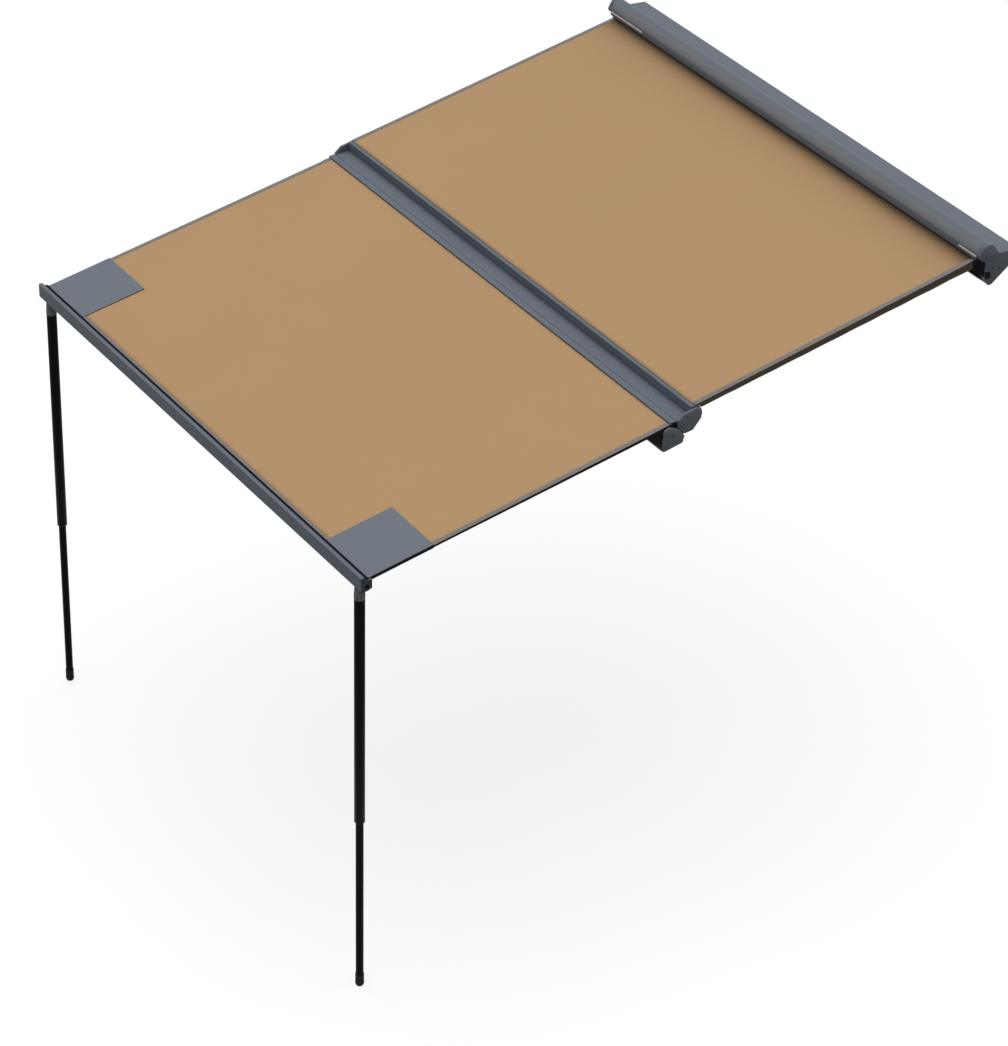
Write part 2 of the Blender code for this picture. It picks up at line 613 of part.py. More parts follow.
# Lead rail
WRIST_WORLD_OUT = MID + Vector((HALF_CANOPY - OUTER_ARM_INSET, *WRIST_OUT))
rail_frame = frame("lead_rail_frame", at(*WRIST_WORLD_OUT), mid_frame)
rail_world = at(*RAIL) @ ALONG_X
rail_path = [(0, -RAIL_SECTION), (0, 0), (RAIL_RIDGE, 0), (RAIL_RIDGE, -RAIL_GROOVE_DROP),
             (STEP_Y, -RAIL_GROOVE_DROP), (STEP_Y, -RAIL_LEDGE_DROP), (RAIL_DEPTH, -RAIL_LEDGE_DROP),
             (RAIL_DEPTH, -RAIL_SECTION)]
rail = prism("lead_rail_body", [walled(rail_path, RAIL_WALL)], -HALF_RAIL, HALF_RAIL)
finish(rail, "lead_rail_body", ALUMINIUM, rail_world, rail_frame)

hem = prism("front_hem", [box_outline((STEP_Y + 0.0012, -RAIL_LEDGE_DROP + FIT),
                                      (HEM_REAR_Y, -RAIL_LEDGE_DROP + FIT + HEM_THICKNESS))],
            -HALF_OUTER, HALF_OUTER)
finish(hem, "front_hem", HEM_GREY, rail_world, rail_frame)

rail_cap = rounded(
    [(0, 0, 0.001), (RAIL_RIDGE, 0, 0.001), (RAIL_RIDGE, -RAIL_GROOVE_DROP, 0.003),
     (STEP_Y, -RAIL_GROOVE_DROP - 0.002, 0.004), (RAIL_DEPTH - 0.0055, -0.022, 0.006),
     (RAIL_DEPTH - 0.0025, LEG_Z, 0.012), (RAIL_DEPTH - 0.0095, -RAIL_SECTION + 0.003, 0.008),
     (LEG_Y, -RAIL_SECTION - 0.002, 0.008), (0, -RAIL_SECTION, 0.003)])
for side, label in ((1, "right"), (-1, "left")):
    inside = side * (HALF_RAIL + FIT)
    outside = side * (HALF_RAIL + FIT + RAIL_CAP)
    cap = prism("cap", [rail_cap, circle((LEG_Y, LEG_Z), SWIVEL_JOURNAL + PIN_FIT, 24)],
                min(inside, outside), max(inside, outside))
    finish(cap, "rail_cap_" + label, CAP_GREY, rail_world, rail_frame)

# Both stages' arms and brackets
pair_of_arms("inner", SHOULDER_IN, WRIST_IN, INNER_ARM, INNER_ARM_INSET, INNER_SLOPE, LIP, vehicle, mid_frame)
pair_of_arms("outer", SHOULDER_OUT, WRIST_OUT, OUTER_ARM, OUTER_ARM_INSET, OUTER_SLOPE, MID, mid_frame,
             rail_frame)

floor = offset([MID_FLOOR_REAR, MID_FLOOR_FRONT], MID_WALL + FIT)
for side, label in ((1, "right"), (-1, "left")):
    inner_x = side * (HALF_CANOPY - INNER_ARM_INSET)
    outer_x = side * (HALF_CANOPY - OUTER_ARM_INSET)
    fork_bracket("shoulder_bracket_inner_" + label, LIP + Vector((inner_x, *SHOULDER_IN)), side, INNER_SLOPE,
                 box_outline((-ARM_LUG, -0.015), (ARM_WALL_ROOM, 0.015)), vehicle)
    fork_bracket("wrist_bracket_inner_" + label, LIP + Vector((inner_x, *WRIST_IN)), side, INNER_SLOPE,
                 box_outline((-ARM_WALL_ROOM + FIT, -0.0125), (ARM_LUG, 0.0125)), mid_frame)
    near, far = SHOULDER_OUT[0] - ARM_LUG, SHOULDER_OUT[0] + ARM_LUG
    post = moved([(near, on_line(floor[0], floor[1], near)), (far, on_line(floor[0], floor[1], far)),
                  (far, SHOULDER_OUT[1] + 0.015), (near, SHOULDER_OUT[1] + 0.015)],
                 -SHOULDER_OUT[0], -SHOULDER_OUT[1])
    fork_bracket("shoulder_bracket_outer_" + label, MID + Vector((outer_x, *SHOULDER_OUT)), side,
                 OUTER_SLOPE, post, mid_frame)
    fork_bracket("wrist_bracket_outer_" + label, MID + Vector((outer_x, *WRIST_OUT)), side, OUTER_SLOPE,
                 box_outline((-ARM_WALL_ROOM, -0.0125), (ARM_LUG, 0.0125)), rail_frame)


# Fabric
def sheet(name, path, half_width, flap_from, flap_to, flap, origin, body):
    """Fabric laid through the path's points, with a hanging hem along both side edges."""
    top = offset(path, -FABRIC / 2)
    made = prism(name, [walled(top, FABRIC)], -half_width, half_width)
    under = offset(path, FABRIC / 2)
    slope = [(flap_from, on_line(under[0], under[1], flap_from) + 0.001),
             (flap_to, on_line(under[0], under[1], flap_to) + 0.001)]
    drop = flap + 0.001
    hanging = slope + [(slope[1][0], slope[1][1] - drop), (slope[0][0], slope[0][1] - drop)]
    for side, label in ((1, "right"), (-1, "left")):
        edge, inner = side * (half_width - 0.0001), side * (half_width - FABRIC)
        hemmed = prism("flap_%s_%s" % (name, label), [hanging], min(edge, inner), max(edge, inner))
        combine(made, hemmed, "UNION", at(*origin) @ ALONG_X, body)
    return finish(made, name, TAN, at(*origin) @ ALONG_X, body)


inner_start = (FABRIC_LOW[0] - 0.001, FABRIC_LOW[1] - 0.001 * tan(INNER_SLOPE))
sheet("canopy_inner", [inner_start, FABRIC_HIGH], HALF_CANOPY, MID_ON_LIP[0] + MID_REAR_Y + 0.006, -0.006,
      INNER_FLAP, LIP, vehicle)
roller_top = (OUTER_ROLLER[0], OUTER_ROLLER[1] + OUTER_ROLLER_RADIUS + FIT + FABRIC / 2)
sheet("canopy_outer", [OUTER_LOW, FABRIC_EXIT, roller_top], HALF_OUTER, RAIL_ON_MID[0] + RAIL_DEPTH + 0.002,
      -0.030, OUTER_FLAP, MID, mid_frame)

# Corner patches: sewn on top of the fabric and folded down over its edge
patch_start = MID + Vector((0, *OUTER_LOW))
for side, label in ((1, "right"), (-1, "left")):
    slope_axes = Matrix.Rotation(OUTER_SLOPE, 4, "X")
    patch_world = at(*patch_start) @ slope_axes @ Matrix.Rotation(pi / 2, 4, "X")
    low, high = FABRIC / 2 + FIT, FABRIC / 2 + FIT + PATCH
    edge = side * (HALF_OUTER + FIT)
    rim = side * (HALF_OUTER + FIT + PATCH)
    inner = side * (HALF_OUTER - PATCH_WIDTH)
    lying = [(inner, low), (inner, high), (rim, high), (rim, low)]
    hanging = [(edge, high - 0.0005), (edge, -INNER_FLAP), (rim, -INNER_FLAP), (rim, high - 0.0005)]
    patch = prism("patch", [lying], -PATCH_LENGTH, -0.0006)
    flap = prism("patch_flap_" + label, [hanging], -PATCH_LENGTH + 0.0005, -0.004)
    combine(patch, flap, "UNION", patch_world, rail_frame)
    finish(patch, "corner_patch_" + label, PATCH_GREY, patch_world, rail_frame)

# Legs
GROUND = -RAIL_HEIGHT - LEG_Z                           # from the fold pin
TUBE_TOP = -0.082
TUBE_LOW = TUBE_TOP - LEG_UPPER_LENGTH
BORE = LEG_TUBE_RADIUS - LEG_TUBE_WALL
BUSH_TOP = TUBE_LOW + BUSH_LENGTH
LOWER_TOP = TUBE_LOW + LEG_OVERLAP
LOWER_LOW = GROUND + 2 * FOOT_RADIUS
SLIDE_FIT = 0.0003
SOCKET = 0.024

for side, label in ((1, "right"), (-1, "left")):
    pivot = RAIL + Vector((side * LEG_X, LEG_Y, LEG_Z))
    swing = frame("leg_swing_frame_" + label, at(*pivot), rail_frame)
    fold = frame("leg_fold_frame_" + label, at(*pivot), swing)
    slide = frame("leg_slide_frame_" + label, at(*pivot), fold)

    journal_end = LEG_INSET + RAIL_CAP - 0.0004
    swivel = turned("swivel", [(0, journal_end), (SWIVEL_JOURNAL, journal_end),
                               (SWIVEL_JOURNAL, LEG_INSET), (SWIVEL_RADIUS, LEG_INSET),
                               (SWIVEL_RADIUS, LEG_INSET - 0.030), (0, LEG_INSET - 0.030)], steps=20)
    cheek_in = LEG_TONGUE / 2 + FIT
    lug = [(0.024, -LEG_LUG), (0.024, LEG_LUG)] + arc((0, 0), LEG_LUG, pi / 2, 3 * pi / 2, 9)
    for low_z, high_z, end in ((cheek_in, cheek_in + LEG_CHEEK, "a"), (-cheek_in - LEG_CHEEK, -cheek_in, "b")):
        cheek = prism("leg_cheek_%s_%s" % (end, label), [[(-side * x, z) for x, z in lug]], low_z, high_z)
        combine(swivel, cheek, "UNION", at(*pivot) @ ALONG_Y, swing)
    reach = cheek_in + LEG_CHEEK - 0.001
    pin = turned("leg_pin_" + label, [(0, reach), (LEG_PIN, reach), (LEG_PIN, -reach), (0, -reach)], steps=12)
    combine(swivel, pin, "UNION", at(*pivot) @ ALONG_Y, swing)
    turn = ALONG_X if side > 0 else Matrix.Rotation(pi, 4, "Z") @ ALONG_X
    finish(swivel, "leg_swivel_" + label, NYLON_BLACK, at(*pivot) @ turn, swing)

    spigot = BORE - SLIDE_FIT
    head = turned("head", [(0, -0.024), (0.0135, -0.025), (0.020, -0.033), (0.020, -0.054),
                           (LEG_COLLAR_RADIUS, -0.0548), (LEG_COLLAR_RADIUS, TUBE_TOP + FIT),
                           (spigot, TUBE_TOP + FIT), (spigot, TUBE_TOP - 0.040), (0, TUBE_TOP - 0.040)],
                  steps=20)
    tongue_lug = [(0.0125, -0.030), (LEG_LUG, 0)] + arc((0, 0), LEG_LUG, 0, pi, 9)[1:] + [(-0.0125, -0.030)]
    tongue = prism("leg_tongue_" + label, [tongue_lug, circle((0, 0), LEG_PIN + PIN_FIT, 16)],
                   -LEG_TONGUE / 2, LEG_TONGUE / 2)
    combine(head, tongue, "UNION", at(*pivot) @ ALONG_Y, fold)
    finish(head, "leg_head_" + label, NYLON_BLACK, at(*pivot), fold)

    upper = turned("upper", [(LEG_TUBE_RADIUS, TUBE_TOP), (LEG_TUBE_RADIUS, TUBE_LOW), (BORE, TUBE_LOW),
                             (BORE, TUBE_TOP)], steps=20, loop=True)
    finish(upper, "leg_upper_tube_" + label, LEG_BLACK, at(*pivot), fold)

    slide_bore = LEG_INNER_RADIUS + SLIDE_FIT
    bush = turned("bush", [(BORE - FIT, BUSH_TOP), (BORE - FIT, TUBE_LOW - FIT),
                           (LEG_TUBE_RADIUS, TUBE_LOW - FIT), (LEG_TUBE_RADIUS, TUBE_LOW - 0.004),
                           (slide_bore, TUBE_LOW - 0.004), (slide_bore, BUSH_TOP)], steps=20, loop=True)
    finish(bush, "leg_bush_" + label, NYLON_BLACK, at(*pivot), fold)

    collar_low = BUSH_TOP + FIT
    collar_high = collar_low + 0.015
    wall = LEG_INNER_RADIUS - 0.0015
    lower = turned("lower", [(LEG_INNER_RADIUS, LOWER_TOP), (LEG_INNER_RADIUS, collar_high),
                             (BORE - SLIDE_FIT, collar_high), (BORE - SLIDE_FIT, collar_low),
                             (LEG_INNER_RADIUS, collar_low), (LEG_INNER_RADIUS, LOWER_LOW),
                             (wall, LOWER_LOW), (wall, LOWER_TOP)], steps=20, loop=True)
    finish(lower, "leg_lower_tube_" + label, LEG_BLACK, at(*pivot), slide)

    socket_top = LOWER_LOW + SOCKET
    sleeve = LEG_INNER_RADIUS + 0.002
    ball = GROUND + FOOT_RADIUS
    neck_angle = acos(min(1.0, sleeve / FOOT_RADIUS))
    foot = turned("foot", [(0, LOWER_LOW - FIT), (slide_bore, LOWER_LOW - FIT), (slide_bore, socket_top),
                           (sleeve, socket_top)]
                  + [(FOOT_RADIUS * cos(a), ball + FOOT_RADIUS * sin(a))
                     for a in [neck_angle - (neck_angle + pi / 2) * k / 6 for k in range(6)]]
                  + [(0, GROUND)], steps=20)
    finish(foot, "leg_foot_" + label, NYLON_BLACK, at(*pivot), slide)
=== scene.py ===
# %% [markdown]
# # Finishing a two-stage vehicle awning
# The CAD model already holds every piece at its real size. This notebook gives the pieces their finish:
# woven cloth on two rollers, powder-coated extrusions, moulded end plates and black telescopic legs.
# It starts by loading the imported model, which stays where it is.

# %% Load the model
import json
from math import acos, atan2, cos, exp, pi, radians, sin, tan
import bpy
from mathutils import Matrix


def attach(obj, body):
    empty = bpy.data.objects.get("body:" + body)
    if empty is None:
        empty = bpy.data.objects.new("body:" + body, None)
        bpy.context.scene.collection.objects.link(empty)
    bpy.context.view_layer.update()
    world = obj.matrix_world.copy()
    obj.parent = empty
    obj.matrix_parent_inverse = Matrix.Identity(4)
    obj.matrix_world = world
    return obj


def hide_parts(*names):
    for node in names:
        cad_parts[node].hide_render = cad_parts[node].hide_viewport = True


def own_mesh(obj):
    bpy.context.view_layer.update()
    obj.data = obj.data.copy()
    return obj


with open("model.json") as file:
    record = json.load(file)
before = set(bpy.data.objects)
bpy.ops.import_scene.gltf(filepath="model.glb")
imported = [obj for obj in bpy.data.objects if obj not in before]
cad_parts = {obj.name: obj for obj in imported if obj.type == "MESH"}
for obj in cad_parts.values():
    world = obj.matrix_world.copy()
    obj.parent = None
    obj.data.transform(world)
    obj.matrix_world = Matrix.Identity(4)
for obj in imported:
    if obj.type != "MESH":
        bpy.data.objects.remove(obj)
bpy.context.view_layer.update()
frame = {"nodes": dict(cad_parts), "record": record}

from types import SimpleNamespace

import bmesh
import bpy
from mathutils import Matrix, Vector

scene = bpy.context.scene

# %% [markdown]
# ## Three reference edges
# Every section of the awning is drawn from one of three edges: the cassette's lip, the front edge of the
# mid beam and the front edge of the lead rail. Keeping them as points means that each profile below can
# be written in small numbers, with y towards the vehicle and z up.

# %% Reference edges, in metres
LIP = Vector((0, -0.205, 0.085))
MID = Vector((0, -1.642, -0.223))
RAIL = Vector((0, -3.016, -0.4345))
GROUND = RAIL.z - 1.966
HALF_CASSETTE = 1.25
HALF_CANOPY = 1.237
HALF_MID = 1.236
HALF_OUTER = 1.235
HALF_RAIL = 1.245
CASSETTE_END = 1.2732
MID_END = 1.248
FIT = 0.0003
SIDES = ((1, "right"), (-1, "left"))

# %% [markdown]
# ## The camera
# The photograph was taken from high on the right, from about fifteen metres away with a long lens. Its
# straight edges fix the viewing direction, so the camera is placed by azimuth, elevation and roll, and
# the focal length follows from the image's 1046 pixels of height.

# %% Camera
AZIMUTH, ELEVATION, ROLL = radians(55.8178), radians(33.6453), radians(1.3972)
ASIDE, UP, AWAY = 1.2057, -0.3834, 15.0474
FOCAL_PX, IMAGE_PX, SENSOR_MM = 3908.44, 1046, 36

right = Vector((cos(AZIMUTH), sin(AZIMUTH), 0))
back = Vector((sin(AZIMUTH) * cos(ELEVATION), -cos(AZIMUTH) * cos(ELEVATION), sin(ELEVATION)))
up = back.cross(right)
side_axis = right * cos(ROLL) + up * sin(ROLL)
top_axis = up * cos(ROLL) - right * sin(ROLL)

camera_data = bpy.data.cameras.new("photo_camera")
camera_data.sensor_width = SENSOR_MM
camera_data.lens = FOCAL_PX * SENSOR_MM / IMAGE_PX
camera_data.clip_start, camera_data.clip_end = 0.1, 200
camera = bpy.data.objects.new("photo_camera", camera_data)
scene.collection.objects.link(camera)
turn = Matrix((side_axis, top_axis, back)).transposed()
camera.matrix_world = Matrix.Translation(RAIL + turn @ Vector((ASIDE, UP, AWAY))) @ turn.to_4x4()
scene.camera = camera
print("lens %.1f mm, camera at %s" % (camera_data.lens, [round(v, 2) for v in camera.location]))

# %% [markdown]
# ## Light and floor
# The photograph is lit softly from above: level faces are three times as bright as upright ones, and the
# cassette shades the cloth in front of it. So the world is brightest overhead, and one very broad sun
# stands nearly upright, a little to the vehicle's side. The shade on the cloth in front of the cassette is
# painted into the first panel's colour, and light on the hood's lower front is painted into its coat.
# The floor is a pale disc that stays nearly white to the camera, still takes the soft shadow of the feet,
# and throws little light back under the cloth.

# %% Node helpers
def put(tree, node, values):
    """Fill a node's sockets: a number or colour is set, and another node's output is linked.
    Gives the node's own outputs."""
    for label, value in values.items():
        if isinstance(value, bpy.types.NodeSocket):
            tree.links.new(value, node.inputs[label])
        else:
            node.inputs[label].default_value = value
    return node.outputs


def add(tree, kind, values=()):
    """The outputs of a new shader node."""
    return put(tree, tree.nodes.new("ShaderNode" + kind), dict(values))


def maths(tree, operation, *values):
    """The result of one Math node."""
    node = tree.nodes.new("ShaderNodeMath")
    node.operation = operation
    return put(tree, node, dict(enumerate(values)))[0]


def empty_material(name):
    """A material with one plain Principled surface, and its node tree."""
    made = bpy.data.materials.new(name)
    made.use_nodes = True
    return made, made.node_tree


def lit_and_seen(tree, lit, seen, output):
    """One shader for the rays that carry light, and another for those that reach the camera."""
    path = add(tree, "LightPath")
    direct = maths(tree, "MAXIMUM", path["Is Camera Ray"], path["Is Glossy Ray"])
    direct = maths(tree, "MAXIMUM", direct, path["Is Transmission Ray"])
    choose = add(tree, "MixShader", {0: direct, 1: lit[0], 2: seen[0]})
    put(tree, tree.nodes[output], {"Surface": choose[0]})


# %% Sky and sun
SKY_COLOUR, SKY_STRENGTH, SKY_START = (0.94, 0.965, 1.0, 1), 0.8, -0.15

scene.view_settings.view_transform = "Standard"
world = bpy.data.worlds.new("studio")
scene.world = world
world.use_nodes = True
tree = world.node_tree
height = add(tree, "SeparateXYZ", {"Vector": add(tree, "TexCoord")["Generated"]})["Z"]
strength = add(tree, "MapRange", {"Value": height, "From Min": SKY_START, "To Max": SKY_STRENGTH})
sky = put(tree, tree.nodes["Background"], {"Color": SKY_COLOUR, "Strength": strength["Result"]})
white = add(tree, "Background", {"Color": (1, 1, 1, 1), "Strength": 1.0})
lit_and_seen(tree, sky, white, "World Output")

sun_data = bpy.data.lights.new("broad_sun", "SUN")
sun_data.energy = 1.45
sun_data.angle = radians(55)
sun_data.color = (1.0, 0.985, 0.96)
sun = bpy.data.objects.new("broad_sun", sun_data)
sun.rotation_euler = Vector((-0.08, 0.04, 0.99)).to_track_quat("Z", "Y").to_euler()
scene.collection.objects.link(sun)

# %% Floor
FLOOR_TONE = (0.24, 0.24, 0.24, 1)

floor_form = bmesh.new()
bmesh.ops.create_circle(floor_form, cap_ends=True, segments=96, radius=40)
bmesh.ops.translate(floor_form, verts=floor_form.verts, vec=(0, -1.5, GROUND))
floor_mesh = bpy.data.meshes.new("floor")
floor_form.to_mesh(floor_mesh)
floor_form.free()
floor = bpy.data.objects.new("floor", floor_mesh)
scene.collection.objects.link(floor)
pale, tree = empty_material("pale_floor")
paint = put(tree, tree.nodes["Principled BSDF"], {"Base Color": FLOOR_TONE, "Roughness": 0.9})
faint = add(tree, "BsdfDiffuse", {"Color": FLOOR_TONE})
glow = add(tree, "Emission", {"Strength": 0.8})
bright = add(tree, "AddShader", {0: faint[0], 1: glow[0]})
lit_and_seen(tree, paint, bright, "Material Output")
floor.data.materials.append(pale)
print("floor at %.3f m, %.3f m below the lead rail's top" % (GROUND, RAIL.z - GROUND))

# %% [markdown]
# ## Shared surface effects
# Four things happen to many surfaces here: a powder coat has a fine orange-peel grain and faint uneven
# patches, its edges are rubbed paler, cloth has a weave, and a seam shows its stitches. Each is one node
# group with named inputs, so a material only says how strong or how large the effect is.

# %% Node groups
GRAIN_HEIGHT, THREAD_HEIGHT = 0.0002, 0.0004
EDGE_FOUND, EDGE_FULL = 0.995, 0.9
STITCH_HALF_WIDTH, STITCH_SHARE = 0.00045, 0.7


def start_group(name, inputs):
    """An empty shader group with these float inputs, and the sockets that carry them."""
    group = bpy.data.node_groups.new(name, "ShaderNodeTree")
    for label, value in inputs.items():
        socket = group.interface.new_socket(label, in_out="INPUT", socket_type="NodeSocketFloat")
        socket.default_value = value
    return group, group.nodes.new("NodeGroupInput").outputs


def end_group(group, results):
    """Give the group one output for each result, a vector or a number."""
    for label, value in results.items():
        kind = "NodeSocketVector" if value.type == "VECTOR" else "NodeSocketFloat"
        group.interface.new_socket(label, in_out="OUTPUT", socket_type=kind)
    put(group, group.nodes.new("NodeGroupOutput"), results)


def relief(tree, height, distance, strength):
    """A normal that follows a height."""
    return add(tree, "Bump", {"Height": height, "Distance": distance, "Strength": strength})["Normal"]


coat_grain, given = start_group("coat_grain", {"Scale": 900, "Depth": 0.05, "Patch Scale": 2.5})
place = add(coat_grain, "TexCoord")["Object"]
fine = add(coat_grain, "TexNoise", {"Vector": place, "Scale": given["Scale"], "Detail": 2})["Fac"]
broad = add(coat_grain, "TexNoise", {"Vector": place, "Scale": given["Patch Scale"], "Detail": 3})
end_group(coat_grain, {
    "Normal": relief(coat_grain, fine, GRAIN_HEIGHT, given["Depth"]), "Patches": broad["Fac"]})

plain_weave, given = start_group("plain_weave", {"Thread": 0.0016, "Depth": 0.25, "Patch Scale": 1.4})
place = add(plain_weave, "TexCoord")["Object"]
split = add(plain_weave, "SeparateXYZ", {"Vector": place})
waves = []
for axis in "XY":
    count = maths(plain_weave, "DIVIDE", split[axis], given["Thread"])
    waves.append(maths(plain_weave, "SINE", maths(plain_weave, "MULTIPLY", count, pi)))
threads = maths(plain_weave, "MULTIPLY_ADD", maths(plain_weave, "MULTIPLY", *waves), 0.5, 0.5)
slub = add(plain_weave, "TexNoise", {"Vector": place, "Scale": given["Patch Scale"], "Detail": 3})
end_group(plain_weave, {
    "Normal": relief(plain_weave, threads, THREAD_HEIGHT, given["Depth"]), "Threads": threads,
    "Patches": slub["Fac"]})

edge_wear, given = start_group("edge_wear", {"Radius": 0.0012})
rounded = edge_wear.nodes.new("ShaderNodeBevel")
rounded.samples = 4
agree = edge_wear.nodes.new("ShaderNodeVectorMath")
agree.operation = "DOT_PRODUCT"
likeness = put(edge_wear, agree, {
    0: put(edge_wear, rounded, {"Radius": given["Radius"]})["Normal"],
    1: add(edge_wear, "NewGeometry")["Normal"]})["Value"]
edge = add(edge_wear, "MapRange", {"Value": likeness, "From Min": EDGE_FOUND, "From Max": EDGE_FULL})
end_group(edge_wear, {"Mask": edge["Result"]})

stitching, given = start_group("stitching", {"Across": 0, "Along": 0, "Offset": 0.003, "Pitch": 0.004})
off_line = maths(stitching, "ABSOLUTE", maths(stitching, "SUBTRACT", given["Across"], given["Offset"]))
step = maths(stitching, "FRACT", maths(stitching, "DIVIDE", given["Along"], given["Pitch"]))
end_group(stitching, {"Thread": maths(
    stitching, "MULTIPLY", maths(stitching, "LESS_THAN", off_line, STITCH_HALF_WIDTH),
    maths(stitching, "LESS_THAN", step, STITCH_SHARE))})
print(len(bpy.data.node_groups), "shared effects")

# %% [markdown]
# ## Finishes
# A powder coat or moulding is a Principled surface whose colour shifts a little from patch to patch and
# whose normal carries the grain. Cloth uses the weave instead, with sheen for the fuzz of spun thread.
# Colours are written as they look in the photograph and converted to linear light once.

# %% Colours and mixes
def linear(red, green, blue):
    """sRGB 0-255 to the linear colour that Blender uses."""
    return tuple(c / 12.92 if c <= 0.04045 else ((c + 0.055) / 1.055) ** 2.4
                 for c in (red / 255, green / 255, blue / 255)) + (1,)


def shade(colour, factor, lift=0):
    """A colour made darker or lighter, then lifted by the same amount in all three parts."""
    return tuple(min(1, min(1, c * factor) + lift) for c in colour[:3]) + (1,)


def blend(tree, first, second, factor=1.0, mode="MIX"):
    """Mix of two colours, each of them a value or another node's output."""
    node = tree.nodes.new("ShaderNodeMix")
    node.data_type = "RGBA"
    node.blend_type = mode
    return put(tree, node, {"Factor": factor, "A": first, "B": second})["Result"]


def use(tree, group, values=()):
    """The outputs of a shared effect."""
    node = tree.nodes.new("ShaderNodeGroup")
    node.node_tree = group
    return put(tree, node, dict(values))


def object_axes(tree):
    """The piece's own X, Y and Z."""
    return add(tree, "SeparateXYZ", {"Vector": add(tree, "TexCoord")["Object"]})


# %% Coats and mouldings
PATCH_SCALE, POLISH_SPREAD = 3.0, 0.05
# Painted light: the hood's lower front, just behind and above its lip, is painted paler towards this tone.
PAINTED_LIGHT_TONE = linear(130, 134, 138)
PAINTED_LIGHT_FROM, PAINTED_LIGHT_TO = (0.034, 0.001), (0.008, 0.008)


def coated(name, colour, roughness, metallic=0.0, grain=900, depth=0.05, spread=0.05, shine=0.05, worn=0.1,
           chalky=None):
    """Powder coat, anodised metal or moulded plastic, with grain, faint patches and rubbed edges.
    The last argument gives the (y, z) of a lip: just above and behind it, the coat is painted paler, as
    painted light."""
    made, tree = empty_material(name)
    colour = linear(*colour)
    effect = use(tree, coat_grain, {"Scale": grain, "Depth": depth, "Patch Scale": PATCH_SCALE})
    patches = effect["Patches"]
    polish = add(tree, "MapRange", {
        "Value": patches, "To Min": roughness - POLISH_SPREAD, "To Max": roughness + POLISH_SPREAD})
    tint = blend(tree, shade(colour, 1 - spread), shade(colour, 1 + spread), patches)
    base = blend(tree, tint, shade(colour, 1 + worn, worn * 0.4),
                 maths(tree, "MULTIPLY", use(tree, edge_wear)["Mask"], patches))
    # Painted light on the hood's lower front: paler just behind and above the lip.
    if chalky:
        bands = []
        for axis, lip, start, end in zip("YZ", chalky, PAINTED_LIGHT_FROM, PAINTED_LIGHT_TO):
            band = tree.nodes.new("ShaderNodeMapRange")
            band.interpolation_type = "SMOOTHSTEP"
            bands.append(put(tree, band, {
                "Value": object_axes(tree)[axis], "From Min": lip + start, "From Max": lip + end})["Result"])
        base = blend(tree, base, PAINTED_LIGHT_TONE, maths(tree, "MULTIPLY", *bands))
    put(tree, tree.nodes["Principled BSDF"], {
        "Base Color": base, "Roughness": polish["Result"], "Metallic": metallic,
        "Specular IOR Level": shine, "Normal": effect["Normal"]})
    return made


# %% Cloths
THREAD_TONES = (0.94, 1.03)
STITCH_HEIGHT = 0.0003
# Painted shade: the first panel's cloth is painted darker at and just in front of the cassette's lip, where
# the cassette's shade falls.
PAINTED_SHADE_AT_MOUTH, PAINTED_SHADE_REACH = 0.8, 0.0424


def woven(name, colour, thread=0.0016, depth=0.25, sheen=0.15, seam=None, cotton=None, mouth=None):
    """Spun cloth: woven normal, thread-by-thread tone and a soft sheen. seam is the distance of a row of
    stitches from the sewn edge, read from the piece's own seam map, and cotton the thread's colour.
    mouth is where, along y, the cloth passes the cassette's lip; there and in front of it the colour is
    painted darker, as painted shade from the cassette."""
    made, tree = empty_material(name)
    colour = linear(*colour)
    effect = use(tree, plain_weave, {"Thread": thread, "Depth": depth})
    normal = effect["Normal"]
    tint = blend(tree, shade(colour, 0.97), shade(colour, 1.03), effect["Patches"])
    tone = add(tree, "MapRange", {
        "Value": effect["Threads"], "To Min": THREAD_TONES[0], "To Max": THREAD_TONES[1]})
    base = blend(tree, tint, tone["Result"], mode="MULTIPLY")
    # Painted shade from the cassette: darkest at the lip, fading over about ten centimetres in front of it.
    if mouth is not None:
        away = maths(tree, "MAXIMUM", maths(tree, "SUBTRACT", mouth, object_axes(tree)["Y"]), 0)
        thinning = maths(tree, "POWER", maths(tree, "DIVIDE", away, PAINTED_SHADE_REACH), 2)
        painted_shade = maths(tree, "DIVIDE", PAINTED_SHADE_AT_MOUTH, maths(tree, "ADD", thinning, 1))
        base = blend(tree, base, maths(tree, "SUBTRACT", 1, painted_shade), mode="MULTIPLY")
    if seam:
        chart = tree.nodes.new("ShaderNodeUVMap")
        chart.uv_map = "seam"
        from_edge = add(tree, "SeparateXYZ", {"Vector": chart.outputs["UV"]})
        row = use(tree, stitching, {"Across": from_edge["X"], "Along": from_edge["Y"], "Offset": seam})
        base = blend(tree, base, linear(*cotton), row["Thread"])
        raised = add(tree, "Bump", {"Height": row["Thread"], "Distance": STITCH_HEIGHT, "Normal": normal})
        normal = raised["Normal"]
    put(tree, tree.nodes["Principled BSDF"], {
        "Base Color": base, "Roughness": 0.9, "Sheen Weight": sheen, "Specular IOR Level": 0.1,
        "Normal": normal})
    return made


# %% The finishes of this awning
BEAM_GREY = coated("beam_powder_coat", (104, 111, 120), 0.45, grain=1100, depth=0.04)
# The cassette's hood carries painted light on its lower front.
HOOD_GREY = coated("cassette_powder_coat", (104, 111, 120), 0.45, grain=1100, depth=0.04, chalky=LIP.yz)
PLATE_GREY = coated("end_plate_moulding", (104, 109, 114), 0.5, grain=700, depth=0.08)
CANOPY_TAN = woven("canopy_cloth", (181, 146, 106))
